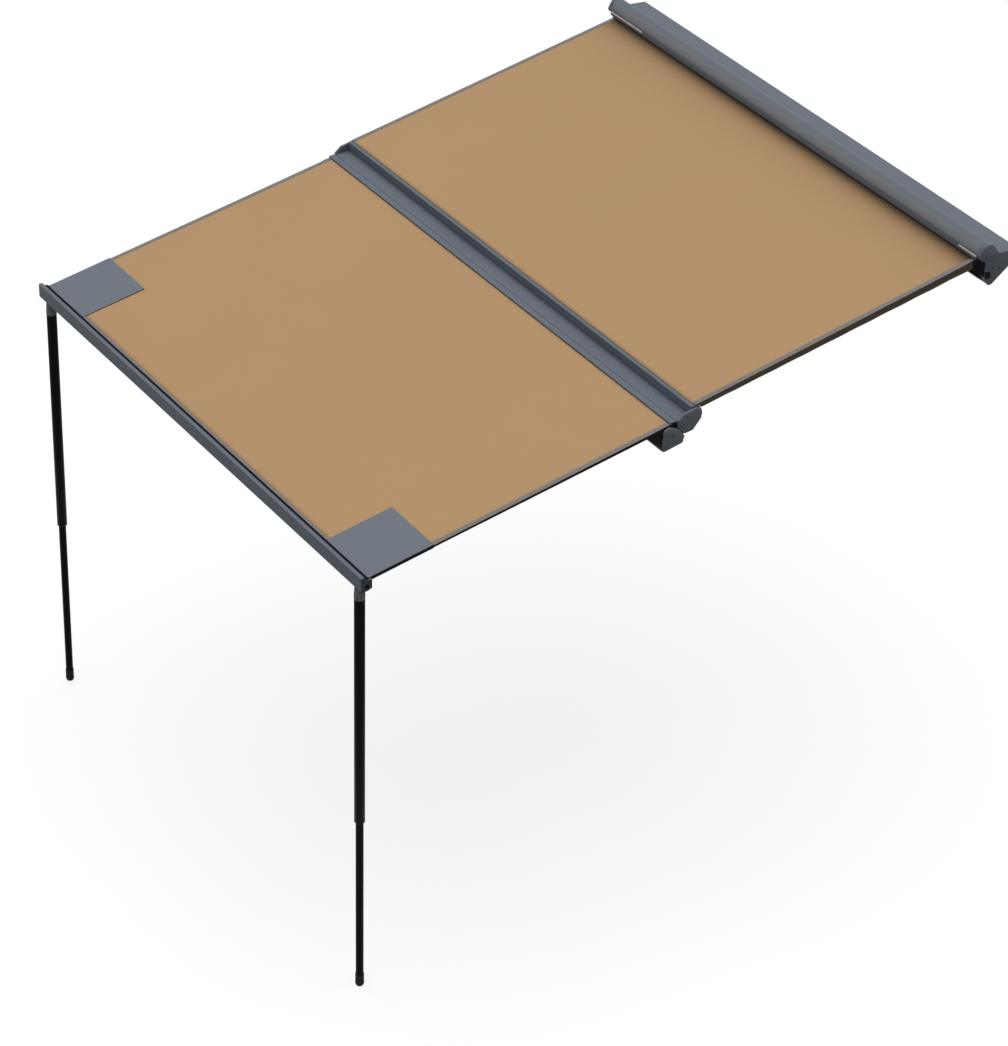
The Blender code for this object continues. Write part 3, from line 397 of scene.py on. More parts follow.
# The first panel's cloth carries the painted shade in front of the cassette's lip.
FIRST_TAN = woven("first_panel_cloth", (181, 146, 106), mouth=LIP.y)
EDGE_GREY = woven(
    "edge_binding", (128, 124, 123), thread=0.001, depth=0.2, seam=0.0065, cotton=(150, 149, 150))
SIDE_BROWN = woven("hanging_hem_cloth", (84, 73, 60), thread=0.0014, seam=0.0035, cotton=(100, 88, 72))
HEM_TAN = woven("hem_binding_cloth", (112, 92, 66), thread=0.0012, seam=0.002, cotton=(140, 118, 90))
PATCH_GREY = woven(
    "patch_cloth", (112, 119, 128), thread=0.0012, depth=0.2, seam=0.006, cotton=(128, 134, 142))
PATCH_EDGE = woven("patch_edge_binding", (27, 27, 30), thread=0.0012, depth=0.2, sheen=0.0)
ARM_DARK = coated("arm_powder_coat", (70, 72, 76), 0.4)
CAST_DARK = coated("cast_bracket", (54, 56, 59), 0.55, grain=350, depth=0.2)
ROLLER_STEEL = coated(
    "galvanised_roller", (170, 172, 174), 0.36, metallic=0.9, grain=60, depth=0.02, spread=0.12, shine=0.5)
MOUNT_STEEL = coated("mount_bracket_coat", (88, 92, 97), 0.45)
RAIL_END_DARK = coated("rail_end_moulding", (66, 69, 71), 0.5, grain=700, depth=0.08)
SWIVEL_BLACK = coated("swivel_block_nylon", (11, 11, 12), 0.6, grain=600, depth=0.12, shine=0.03, worn=0.01)
LEG_BLACK = coated("anodised_leg_tube", (13, 13, 12), 0.34, grain=1500, depth=0.02, shine=0.04, worn=0.02)
HEAD_GREY = coated("leg_head_casting", (116, 115, 113), 0.55, grain=350, depth=0.2)
NYLON_BLACK = coated("black_nylon", (30, 31, 32), 0.5, grain=600, depth=0.12, shine=0.25, worn=0.03)
FOOT_RUBBER = coated("foot_rubber", (20, 20, 20), 0.75, grain=400, depth=0.2, shine=0.2, worn=0.02)
GLIDE_WHITE = coated("glide_plastic", (226, 220, 210), 0.4, grain=500)
HEM_GREY = coated("hem_bar_plastic", (122, 123, 127), 0.5, grain=700)
SCREW_DARK = coated("blackened_screw", (26, 26, 28), 0.35, metallic=0.4, grain=300)
# Black rubber for the welts and seals, also used as painted shade in the rail's groove, the mouth's ends and
# the mid beam's gaps.
BLACK_RUBBER_AND_SHADE = coated("rubber_seal", (13, 15, 19), 0.7, grain=500, depth=0.15, shine=0.05, worn=0.01)
print(len(bpy.data.materials), "materials so far")


# %% [markdown]
# ## Making and placing a piece
# Every new piece ends the same way: its bmesh becomes an object at the origin, gets its finish, is shaded
# smooth with sharp edges kept, and rides on the body that carries it.

# %% Piece helpers
def piece(name, form, finish, body, stands_for=(), smooth=35):
    """An object from a bmesh with its finish, riding on a body; it may stand for a CAD node, which is then
    hidden.
    """
    mesh = bpy.data.meshes.new(name)
    form.to_mesh(mesh)
    form.free()
    made = bpy.data.objects.new(name, mesh)
    scene.collection.objects.link(made)
    mesh.materials.append(finish)
    mesh.shade_smooth()
    mesh.set_sharp_from_angle(angle=radians(smooth))
    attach(made, body)
    if stands_for:
        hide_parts(stands_for)
    return made


def eased(made, width, segments=2):
    """Small rounded edges that catch the light."""
    bevel = made.modifiers.new("Eased edges", "BEVEL")
    bevel.width = width
    bevel.segments = segments
    bevel.limit_method = "ANGLE"
    bevel.angle_limit = radians(40)
    bevel.harden_normals = True
    return made


def dressed(node, finish):
    """A merged copy of a CAD node with eased edges, in the node's own place."""
    body = next(name for name, members in frame["record"]["behaviour"]["bodies"].items() if node in members)
    form = bmesh.new()
    form.from_mesh(frame["nodes"][node].data)
    bmesh.ops.remove_doubles(form, verts=form.verts, dist=0.00001)
    bmesh.ops.dissolve_limit(form, angle_limit=radians(0.5), verts=form.verts, edges=form.edges)
    return eased(piece(node + "_finished", form, finish, body, stands_for=node), 0.0004, segments=1)


# %% A finish for every CAD node
SLOTS = {entry["node"]: entry["material_slot"] for entry in frame["record"]["subparts"]}
FINISH_OF = {
    "aluminium_grey": BEAM_GREY, "cap_grey": PLATE_GREY, "canopy_tan": CANOPY_TAN, "patch_grey": PATCH_GREY,
    "arm_dark": ARM_DARK, "cast_dark": CAST_DARK, "roller_steel": ROLLER_STEEL, "bracket_steel": MOUNT_STEEL,
    "leg_black": LEG_BLACK, "nylon_black": NYLON_BLACK, "foot_rubber": FOOT_RUBBER,
    "glide_white": GLIDE_WHITE, "hem_grey": HEM_GREY}
for node_name, node in frame["nodes"].items():
    node.data.materials.clear()
    node.data.materials.append(FINISH_OF[SLOTS[node_name]])
print(len(SLOTS), "CAD nodes in", len(set(SLOTS.values())), "material slots")

# %% [markdown]
# ## Sections and plates
# The beams of an awning are extrusions: one section, pushed through a die and cut to length. Here a section
# is a list of corners, each with its radius. It is drawn out along x, its long edges are bevelled to those
# radii, and a Solidify modifier gives the wall. Moulded end plates start from the same kind of list, but as
# a filled face that is drawn out to the plate's thickness and given a bevelled rim.

# %% Section helpers
def at_edge(origin, corner):
    """A section's corner as a point, measured from its reference edge."""
    return Vector((0, origin.y + corner[0], origin.z + corner[1]))


def chain(form, points):
    """Vertices at the points and the edges that join them in a line."""
    line = [form.verts.new(point) for point in points]
    return line, [form.edges.new(pair) for pair in zip(line, line[1:])]


def draw_out(form, extruded, length):
    """Move what an extrude operator has just made along x."""
    bmesh.ops.translate(form, verts=[g for g in extruded["geom"] if isinstance(g, bmesh.types.BMVert)],
                        vec=(length, 0, 0))


def align_faces(form):
    """Make all faces agree on their outer side."""
    bmesh.ops.recalc_face_normals(form, faces=form.faces)


def roll_edges(form, section, origin, closed, segments=6):
    """Bevel the long edges of a drawn section, each to its corner's radius."""
    count = len(section)
    for i, corner in enumerate(section):
        if len(corner) < 3 or (not closed and i in (0, count - 1)):
            continue
        here = at_edge(origin, corner).yz
        before = here - at_edge(origin, section[i - 1]).yz
        after = at_edge(origin, section[(i + 1) % count]).yz - here
        turn = abs(before.angle_signed(after))
        edge = next(e for e in form.edges if all((v.co.yz - here).length < 1e-6 for v in e.verts))
        bmesh.ops.bevel(form, geom=[edge], offset=corner[2] * tan(turn / 2), offset_type="OFFSET",
                        segments=segments, profile=0.5, affect="EDGES", material=-1)


def ribbon(section, half, origin):
    """A folded strip of no thickness, from x = -half to x = half."""
    form = bmesh.new()
    edges = chain(form, [Vector((-half, 0, 0)) + at_edge(origin, corner) for corner in section])[1]
    draw_out(form, bmesh.ops.extrude_edge_only(form, edges=edges), 2 * half)
    roll_edges(form, section, origin, False)
    return form


def plate(outline, inside, outside, origin, rim):
    """A moulded plate from x = inside to x = outside, with a bevelled rim on its outer face."""
    form = bmesh.new()
    face = form.faces.new([form.verts.new(Vector((inside, 0, 0)) + at_edge(origin, c)) for c in outline])
    way = 1 if outside > inside else -1
    step = rim * 0.7
    draw_out(form, bmesh.ops.extrude_face_region(form, geom=[face]), outside - inside - way * step)
    roll_edges(form, outline, origin, True)
    align_faces(form)
    outer = [f for f in form.faces if f.normal.x * way > 0.9]
    bmesh.ops.inset_region(form, faces=outer, thickness=rim, depth=step, use_even_offset=True)
    return form


def two_tone(made, band):
    """The plate's outer face keeps its own finish; the band round it is coated like the beam."""
    made.data.materials.append(band)
    for face in made.data.polygons:
        face.material_index = 0 if abs(face.normal.x) > 0.8 else 1
    return made


def walled(made, thickness, side):
    """Turn a strip into a wall of even thickness, on one side of the drawn face or on both."""
    solid = made.modifiers.new("Wall", "SOLIDIFY")
    solid.thickness = thickness
    solid.offset = side
    solid.use_even_offset = True
    return made


def beam(name, section, half, origin, finish, body, wall, width):
    """An extrusion: the walled section, standing for the body node of the same name."""
    made = piece(name, ribbon(section, half, origin), finish, body, body + "_body")
    return eased(walled(made, wall, -1), width)


def sweep(centre, radius, start, end, steps):
    """Points (y, z) on an arc, angles in radians."""
    return [(centre[0] + radius * cos(start + (end - start) * k / steps),
             centre[1] + radius * sin(start + (end - start) * k / steps)) for k in range(steps + 1)]


def tangent(centre, radius, point, side):
    """Angle at which the line from a point touches a circle, on its left or right side."""
    away = Vector(point) - Vector(centre)
    return atan2(away.y, away.x) + side * acos(radius / away.length)


# %% [markdown]
# ## The cassette
# The cassette is the long housing on the vehicle. Its front is a round hood over the fabric roller, with a
# short skirt below the lip, and its back wall, floor and lower lip are one piece with it. The mouth
# between skirt and lower lip stays open for the fabric and the arms.

# %% Cassette extrusion and its end plates
HOOD, HOOD_RADIUS, HOOD_STEPS = (0.043, 0.006), 0.035, 20
BEAM_WALL = 0.003
front = tangent(HOOD, HOOD_RADIUS, (0, 0), -1)
rear = tangent(HOOD, HOOD_RADIUS, (0.097, -0.008), 1)
hood = sweep(HOOD, HOOD_RADIUS, front, rear - (2 * pi if rear > front else 0), HOOD_STEPS)
roof = [(0.097, -0.008, 0.012), (0.1997, -0.0195, 0.004)]
base = [(0.1997, -0.076, 0.004), (0.165, -0.076, 0.008), (0.075, -0.143, 0.01)]
cassette_section = [(0, -0.024), (0, 0)] + hood + roof + base + [(0.059, -0.146, 0.004), (0.056, -0.138)]
beam("cassette_shell", cassette_section, HALF_CASSETTE, LIP, HOOD_GREY, "cassette", BEAM_WALL, 0.0005)

cassette_outline = [(0, 0)] + hood + roof + base + [
    (0.059, -0.146, 0.006), (0.046, -0.13, 0.006), (0.03, -0.099, 0.01), (0.03, -0.031, 0.006),
    (0.02, -0.028, 0.004), (0.002, -0.01, 0.002)]
for side, label in SIDES:
    form = plate(cassette_outline, side * (HALF_CASSETTE + FIT), side * CASSETTE_END, LIP, 0.0025)
    cap = piece("cassette_end_" + label, form, PLATE_GREY, "cassette", "cassette_cap_" + label)
    eased(two_tone(cap, BEAM_GREY), 0.0007)

# %% [markdown]
# ## The mid beam and the lead rail
# The mid beam ends the first fabric panel and carries the second roller. Its section has, from front to
# back, a flat flange that the second fabric leaves under, a trough, the hood over the roller and the open
# box for the second pair of arms. The lead rail is a U that is open below, where the legs fold in.

# %% Beam sections
RAIL_WALL = 0.0025
mid_section = [
    (0, -0.006), (0, 0), (0.026, 0.001), (0.026, -0.004), (0.031, -0.004), (0.031, -0.002),
    (0.096, -0.002, 0.002), (0.096, 0.0168), (0.0949, 0.0173), (0.0949, 0.0195), (0.096, 0.02),
    (0.096, 0.04, 0.003), (0.112, 0.041, 0.01), (0.126, 0.038, 0.01), (0.138, 0.03, 0.01),
    (0.142, 0.021, 0.006), (0.142, -0.006, 0.01), (0.136, -0.017, 0.012), (0.101, -0.058, 0.01),
    (0.068, -0.065, 0.004), (0.064, -0.072, 0.004), (0.056, -0.098, 0.004), (0.05, -0.1, 0.003),
    (-0.02, -0.113, 0.01), (-0.034, -0.115), (-0.034, -0.108)]
beam("mid_beam_profile", mid_section, HALF_MID, MID, BEAM_GREY, "mid_beam", BEAM_WALL, 0.0004)

rail_section = [
    (0, -0.058), (0, -0.0425), (0.0004, -0.0421), (0.0004, -0.0404), (0, -0.04), (0, -0.0185),
    (0.0004, -0.0181), (0.0004, -0.0164), (0, -0.016), (0, 0), (0.016, 0), (0.016, -0.013), (0.036, -0.013),
    (0.036, -0.017), (0.0496, -0.017), (0.0496, -0.058)]
beam("lead_rail_profile", rail_section, HALF_RAIL, RAIL, BEAM_GREY, "lead_rail", RAIL_WALL, 0.0004)

# %% Mid beam plates
MID_CAPS = {
    "upper": [
        (0.033, 0.0023, 0.003), (0.0615, 0.026, 0.006), (0.119, 0.036, 0.006), (0.138, 0.026, 0.006),
        (0.142, 0.004, 0.006), (0.1365, -0.017, 0.006), (0.1016, -0.0576, 0.006), (0.064, -0.062, 0.004),
        (0.031, -0.023, 0.004)],
    "lower": [
        (-0.0293, -0.0226, 0.004), (-0.0035, -0.0165, 0.004), (0.04, -0.0345, 0.003),
        (0.064, -0.0715, 0.004), (0.0559, -0.0984, 0.004), (0.05, -0.1005, 0.003),
        (-0.0198, -0.1135, 0.006), (-0.034, -0.1145, 0.003)]}
for side, label in SIDES:
    for name, outline in MID_CAPS.items():
        form = plate(outline, side * (HALF_MID + FIT), side * MID_END, MID, 0.0022)
        cap = piece("mid_beam_plate_%s_%s" % (name, label), form, PLATE_GREY, "mid_beam",
                    "mid_cap_%s_%s" % (name, label))
        eased(two_tone(cap, BEAM_GREY), 0.0006)
print("beams: %.3f and %.3f m long" % (2 * HALF_MID, 2 * HALF_RAIL))

# %% [markdown]
# ## The canopies
# Each canopy is one continuous cloth, held stretched between a roller and a bar. It is made as a line of
# points across the awning that is drawn from one bar to the other. Stretched cloth isn't quite flat: it
# sags about two millimetres between its bars and shows very shallow waves that fade out where it is held.

# %% Stretched cloth
CLOTH_THICKNESS = 0.001
CLOTH_TOP = 0.0011
SAG, RIPPLE = 0.0022, 0.00025
ROLLER_TOP = Vector((0.088, -0.0136))
inner = SimpleNamespace(
    name="inner", half=HALF_CANOPY, origin=LIP, low=Vector((-1.325, -0.2654)),
    high=Vector((0.0477, -0.026)), slope=radians(9.893), body="cassette")
outer = SimpleNamespace(
    name="outer", half=HALF_OUTER, origin=MID, low=Vector((-1.3251, -0.2268)),
    high=Vector((-0.002, -0.01)), slope=radians(9.306), body="mid_beam")


def path_of(corners, step=0.018):
    """Evenly spaced points (y, z) along straight runs."""
    made = []
    for a, b in zip(corners, corners[1:]):
        count = max(1, round((b - a).length / step))
        made += [a.lerp(b, k / count) for k in range(count)]
    return made + [corners[-1]]


def share_of(stage, point):
    """How far along its free run a point of the path lies: 0 at the bar and 1 at the roller's exit."""
    return (point.x - stage.low.x) / (stage.high.x - stage.low.x)


def settle(x, share, half):
    """How far stretched cloth hangs below the straight line: sag, and shallow waves towards its middle."""
    held = sin(pi * min(1, max(0, share)))
    waves = sin(7.3 * x + 3.1 * share) + 0.6 * sin(15.1 * x - 4.7 * share)
    return held * (SAG * (1 - 0.4 * (x / half) ** 2) + RIPPLE * waves)


def on_cloth(stage, x, point, rise):
    """The place at x on a stage's cloth beside a point of its path, rise above the fabric's middle line."""
    fall = settle(x, share_of(stage, point), stage.half)
    return stage.origin + Vector((x, point.x, point.y + rise - fall))


def rows_from(form, line, count, closed=False):
    """Extrude a row of vertices count times. Gives every row, each vertex in step with the one before."""
    edges = [form.edges.new(pair) for pair in zip(line, line[1:] + (line[:1] if closed else []))]
    rows = [line]
    for _ in range(count):
        drawn = bmesh.ops.extrude_edge_only(form, edges=edges)["geom"]
        edges = [g for g in drawn if isinstance(g, bmesh.types.BMEdge)]
        fresh = {g for g in drawn if isinstance(g, bmesh.types.BMVert)}
        rows.append([next(e.other_vert(v) for e in v.link_edges if e.other_vert(v) in fresh)
                     for v in rows[-1]])
    return rows


def face_up(form):
    """Turn all faces of a sheet to its upper side."""
    align_faces(form)
    if sum(f.normal.z for f in form.faces) < 0:
        bmesh.ops.reverse_faces(form, faces=form.faces)


def cloth(stage, low, high, rise, columns=72):
    """Cloth from x = low to x = high along its stage, with its face rise above the fabric's middle line."""
    form = bmesh.new()
    xs = [low + (high - low) * k / columns for k in range(columns + 1)]
    rows = rows_from(form, [form.verts.new((x, 0, 0)) for x in xs], len(stage.path) - 1)
    for row, point in zip(rows, stage.path):
        for vertex, x in zip(row, xs):
            vertex.co = on_cloth(stage, x, point, rise)
    face_up(form)
    return form


def folding(made):
    """Give the cloth its own copy of its mesh."""
    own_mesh(made)
    return made


# %% The two panels
inner.path = path_of([inner.low, inner.high])
outer.path = path_of([outer.low, outer.high, ROLLER_TOP])
for stage, name, finish in (
        (inner, "canopy_first_panel", FIRST_TAN), (outer, "canopy_second_panel", CANOPY_TAN)):
    form = cloth(stage, -stage.half, stage.half, CLOTH_TOP)
    stage.panel = piece(name, form, finish, stage.body, "canopy_" + stage.name)
    folding(walled(stage.panel, CLOTH_THICKNESS, -1))
print("panels: %d and %d rows of cloth" % (len(inner.path), len(outer.path)))

# %% Clamp strip
# The first panel's bar edge is clamped by a low strip that lies between the cloth and the hood's crest.
clamp_section = [(0.1118, 0.041), (0.115, 0.0405), (0.115, 0.0428), (0.1118, 0.0425)]
clamp_half = HALF_MID - 0.004
piece("first_panel_clamp_strip", plate(clamp_section, -clamp_half, clamp_half, MID, 0.0002), BEAM_GREY,
      "mid_beam")

# %% [markdown]
# ## Bindings and side hems
# Cloth frays at a cut edge, so the sides are bound with a lighter tape, closed by a black welt and finished
# by a hem that hangs down in front of the arms. The first panel's hem is the deeper one and has a bound
# foot. Each trim keeps a seam map, which holds the distance from its sewn edge and the distance along it,
# so that stitches run along the edge.

# %% Side trim helpers
HEM_DEPTH = (0.82, 1.26)
HEM_STEPS, HEM_OFFSET, HEM_TOP = 6, 0.0018, 0.0006
NO_LIMIT = -9
HOOD_CONTOUR = [(0.112, 0.0425), (0.116, 0.0425), (0.128, 0.0395), (0.139, 0.0305), (0.1422, 0.0225),
                (0.1429, 0.01)]


def mark_seam(form, rule):
    """Store (distance from the sewn edge, distance along it) for every corner of every face."""
    chart = form.loops.layers.uv.new("seam")
    for face in form.faces:
        for loop in face.loops:
            loop[chart].uv = rule(loop.vert.co)


def hanging(stage, path, side, span, clear=None):
    """A hem that hangs from the cloth's edge between two depths; clear(y) is the lowest it may reach.
    It is cut deeper towards the roller, by the factors in HEM_DEPTH."""
    origin, half = stage.origin, stage.half
    form = bmesh.new()
    rows = rows_from(form, [form.verts.new() for _ in range(HEM_STEPS + 1)], len(path) - 1)
    for row, point in zip(rows, path):
        share = share_of(stage, point)
        deeper = HEM_DEPTH[0] + (HEM_DEPTH[1] - HEM_DEPTH[0]) * share
        top = point.y + HEM_TOP - settle(side * half, share, half)
        low = max(top - span[1] * deeper, clear(point.x) if clear else NO_LIMIT)
        high = max(top - span[0] * deeper, low + 0.0004)
        swing = 0.0006 * (1 + sin(41 * point.x)) / 2
        for k, vertex in enumerate(row):
            z = high + (low - high) * k / HEM_STEPS
            inward = HEM_OFFSET + swing * ((top - z) / 0.02) ** 2
            vertex.co = (side * (half - inward), origin.y + point.x, origin.z + z)
    align_faces(form)
    run = path[-1] - path[0]
    slope = (run.y - span[0] * (HEM_DEPTH[1] - HEM_DEPTH[0])) / run.x
    edge = path[0].y + origin.z - span[0] * HEM_DEPTH[0]
    mark_seam(form, lambda co: (edge + slope * (co.y - origin.y - path[0].x) - co.z, co.y))
    return form


def welt(stage, x, radius, lift, sides=10):
    """Round welt along the cloth's edge."""
    form = bmesh.new()
    rows = rows_from(form, [form.verts.new() for _ in range(sides)], len(stage.path) - 1, closed=True)
    for row, point in zip(rows, stage.path):
        for k, vertex in enumerate(row):
            a = 2 * pi * k / sides
            vertex.co = on_cloth(stage, x, point, lift) + radius * Vector((cos(a), 0, sin(a)))
    bmesh.ops.holes_fill(form, edges=[e for e in form.edges if e.is_boundary], sides=0)
    align_faces(form)
    return form


def over_hood(y):
    """Lowest height, from the lip, at which the hem clears the mid beam's hood behind its crest."""
    y -= MID.y - LIP.y
    for (y0, z0), (y1, z1) in zip(HOOD_CONTOUR, HOOD_CONTOUR[1:]):
        if y0 <= y <= y1:
            return MID.z - LIP.z + z0 + (z1 - z0) * (y - y0) / (y1 - y0)
    return NO_LIMIT


# %% Side trims
TAPE_WIDTH, TAPE_TOP, WELT_RADIUS = 0.02, 0.0017, 0.0014
FIRST_ROWS = (0.003, 0.01, 0.018, 0.0275, 0.0307, 0.0315)


def sewn_on(stage, name, form, finish):
    """A trim that rides on its panel's body, with its own copy of its mesh."""
    stage.trims.append(folding(piece(name, form, finish, stage.body)))
    return stage.trims[-1]


for stage, hem, gap, finish, clear in (
        (inner, 0.0285, 0.05, SIDE_BROWN, over_hood), (outer, 0.012, 0.03, PATCH_EDGE, None)):
    along = (stage.high - stage.low).normalized()
    free = [stage.low + along * d for d in FIRST_ROWS]
    free += path_of([stage.low + along * 0.0325, stage.high - along * gap])
    stage.trims = []
    for side, label in SIDES:
        edge = side * stage.half
        name = "%s_" + stage.name + "_" + label
        strip = cloth(stage, *sorted((edge - side * TAPE_WIDTH, edge - side * 0.0004)), TAPE_TOP, columns=6)
        mark_seam(strip, lambda co: (abs(edge - co.x), co.y))
        walled(sewn_on(stage, name % "tape", strip, EDGE_GREY), 0.0005, -1)
        sewn_on(stage, name % "welt", welt(stage, edge - side * WELT_RADIUS, WELT_RADIUS, -0.0003),
                BLACK_RUBBER_AND_SHADE)
        skirt = hanging(stage, free, side, (0, hem), clear)
        walled(sewn_on(stage, name % "side_hem", skirt, finish), CLOTH_THICKNESS, 0)
        if stage is inner:
            foot = hanging(stage, free[5:], side, (0.0235, 0.029))
            walled(sewn_on(stage, "hem_binding_" + label, foot, HEM_TAN), 0.0016, 0)
print("trims: %d on the first panel and %d on the second" % (len(inner.trims), len(outer.trims)))

# %% [markdown]
# ## Corner patches and the front hem
# The outer corners of the second panel take the pull of the legs, so a stiffened patch is sewn over each of
# them and folded down over the side. It has a dark bound rim. A flat hem bar closes the cloth's front edge,
# and a black strip fills the rail's groove in front of it, as painted shade for the shade in the groove.

# %% Patches
PAD_WIDTH, PAD_REACH, PAD_START = 0.292, 0.2835, RAIL.y + 0.0374
PAD_RISE, PAD_SWELL, PAD_SIDE = 0.0044, 0.0009, 0.016
PAD_CELLS = 30


def patch_form(side):
    """Stiff patch: a top that swells a little inside its seam, with a rim that folds down at the side."""
    form = bmesh.new()
    foot = MID + Vector((0, *outer.low))
    drawn = bmesh.ops.create_grid(form, x_segments=PAD_CELLS, y_segments=PAD_CELLS, size=0.5)
    for vertex in drawn["verts"]:
        u, v = vertex.co.x + 0.5, vertex.co.y + 0.5
        rim = min(u * PAD_WIDTH, (1 - u) * PAD_WIDTH, v * PAD_REACH, (1 - v) * PAD_REACH)
        y = PAD_START + v * PAD_REACH
        vertex.co = (side * (HALF_OUTER - PAD_WIDTH + u * (PAD_WIDTH + 0.0009)), y,
                     foot.z + tan(outer.slope) * (y - foot.y) + PAD_RISE
                     + PAD_SWELL * (1 - exp(-rim / 0.008)))
    skirt = bmesh.ops.extrude_edge_only(form, edges=[e for e in form.edges if e.is_boundary])["geom"]
    for vertex in (g for g in skirt if isinstance(g, bmesh.types.BMVert)):
        outer_side = vertex.co.x * side > HALF_OUTER + 0.0005
        front = vertex.co.y < PAD_START + 0.0001
        vertex.co.z -= PAD_SIDE if outer_side else 0.0006 if front else PAD_RISE - 0.0012
    for face in skirt:
        if isinstance(face, bmesh.types.BMFace):
            face.material_index = 1
    face_up(form)
    mark_seam(form, lambda co: (
        min(abs(abs(co.x) - HALF_OUTER), abs(abs(co.x) - HALF_OUTER + PAD_WIDTH),
            abs(co.y - PAD_START - PAD_REACH)), co.x + co.y))
    return form


for side, label in SIDES:
    patch = piece("corner_pad_" + label, patch_form(side), PATCH_GREY, "lead_rail",
                  "corner_patch_" + label, smooth=50)
    patch.data.materials.append(PATCH_EDGE)
    walled(patch, 0.0006, -1)
    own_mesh(patch)

# %% Hem bar and the groove's painted shade
hem_section = [
    (0.0372, -0.0167, 0.0004), (0.0486, -0.0167, 0.0004), (0.0486, -0.014, 0.0004), (0.0372, -0.014, 0.0004)]
piece("front_hem_bar", plate(hem_section, -HALF_OUTER, HALF_OUTER, RAIL, 0.0004), HEM_GREY, "lead_rail",
      "front_hem")
# Painted shade: a black strip fills the rail's groove, which is dark from the shade in it.
groove_shade_section = [
    (0.0163, -0.0128), (0.0357, -0.0128), (0.0357, -0.0112), (0.03, -0.0112), (0.0285, -0.0098),
    (0.0235, -0.0098), (0.022, -0.0112), (0.0163, -0.0112)]
groove_shade_half = HALF_RAIL - 0.001
piece("rail_groove_gasket", plate(groove_shade_section, -groove_shade_half, groove_shade_half, RAIL, 0.0003), BLACK_RUBBER_AND_SHADE,
      "lead_rail")
print("patches: %.0f x %.0f mm" % (1000 * PAD_WIDTH, 1000 * PAD_REACH))

# %% [markdown]
# ## Turned pieces
# Legs, rollers and screws are round, so each starts as half of its outline and is spun about its axis. A
# leg has a sleeve round its collar, a black upper tube, a slimmer tube that slides out of it through a bush,
# and a rounded foot. A screw is a low dome whose flat top is inset and sunk for the socket.

# %% Turning helpers
def stand(form, centre, axis):
    """Turn a form's z to an axis and move it to its place."""
    place = Matrix.Translation(centre) @ Vector(axis).to_track_quat("Z", "Y").to_matrix().to_4x4()
    bmesh.ops.transform(form, matrix=place, verts=form.verts)
    return form


def turned(points, centre=(0, 0, 0), axis=(0, 0, 1), steps=48):
    """A form of revolution from (radius, height) points about an axis through centre."""
    form = bmesh.new()
    line, edges = chain(form, [(radius, 0, height) for radius, height in points])
    bmesh.ops.spin(form, geom=line + edges, cent=(0, 0, 0), axis=(0, 0, 1), angle=2 * pi,
                   steps=steps, use_merge=True)
    bmesh.ops.remove_doubles(form, verts=form.verts, dist=1e-6)
    align_faces(form)
    return stand(form, centre, axis)


def screw(name, centre, axis, radius, height, body):
    """Button-head screw standing on a face at centre, its axis pointing out of the face."""
    form = turned([(0.0001, height), (radius * 0.62, height), (radius * 0.86, height * 0.72),
                   (radius, height * 0.2), (radius, -0.0006), (0.0001, -0.0006)], steps=24)
    top = [f for f in form.faces if f.calc_center_median().z > height - 1e-5]
    bmesh.ops.inset_region(form, faces=top, thickness=radius * 0.24, depth=0)
    for vertex in {v for f in top if f.is_valid for v in f.verts}:
        vertex.co.z -= height * 0.55
    return piece(name, stand(form, centre, axis), SCREW_DARK, body)


def leg_pivot(side):
    """Where a leg's axis meets the hinge in the rail's end."""
    return Vector((side * 1.197, -2.9912, -0.474552))


# %% Screws and collar sleeves
SLEEVE = [(0.0192, -0.0335), (0.02, -0.0335), (0.0202, -0.034), (0.0202, -0.0535), (0.0212, -0.055),
          (0.0215, -0.0556), (0.0215, -0.0812), (0.0211, -0.082), (0.0192, -0.082), (0.0192, -0.0335)]
COLLAR_SCREW_DROP, COLLAR_SCREW_OUT = -0.066, 0.0214
PLATE_SCREWS = (
    ("mid_plate_screw", MID, MID_END, "mid_beam", 0.0036, 0.0012,
     ((0.072, 0.0105), (0.048, -0.0264), (0.006, -0.05))),
    ("cassette_screw", LIP, CASSETTE_END, "cassette", 0.004, 0.0008, ((0.07, -0.067), (0.105, -0.08))))
for side, label in SIDES:
    for name, origin, end, body, radius, height, places in PLATE_SCREWS:
        for k, (y, z) in enumerate(places):
            screw("%s_%d_%s" % (name, k + 1, label), origin + Vector((side * end, y, z)), (side, 0, 0),
                  radius, height, body)
    piece("leg_collar_sleeve_" + label, turned(SLEEVE, leg_pivot(side)), HEAD_GREY, "leg_upper_" + label)
    for k, angle in enumerate((-57, -10)):
        bearing = radians(angle if side > 0 else 180 - angle)
        out = Vector((cos(bearing), sin(bearing), 0))
        place = leg_pivot(side) + Vector((0, 0, COLLAR_SCREW_DROP)) + out * COLLAR_SCREW_OUT
        screw("collar_screw_%d_%s" % (k + 1, label), place, out, 0.003, 0.0008, "leg_upper_" + label)

# %% [markdown]
# ## Seals, pads and painted shade plates
# The cassette's mouth has a black rubber seal and a pad at each end; the seal also stands as painted shade
# for the shade in the mouth's ends. A black plate closes the gap in each end of the mid beam, as painted
# shade for the shade in that gap. They are thin plates like the end caps, so the same helper makes them.

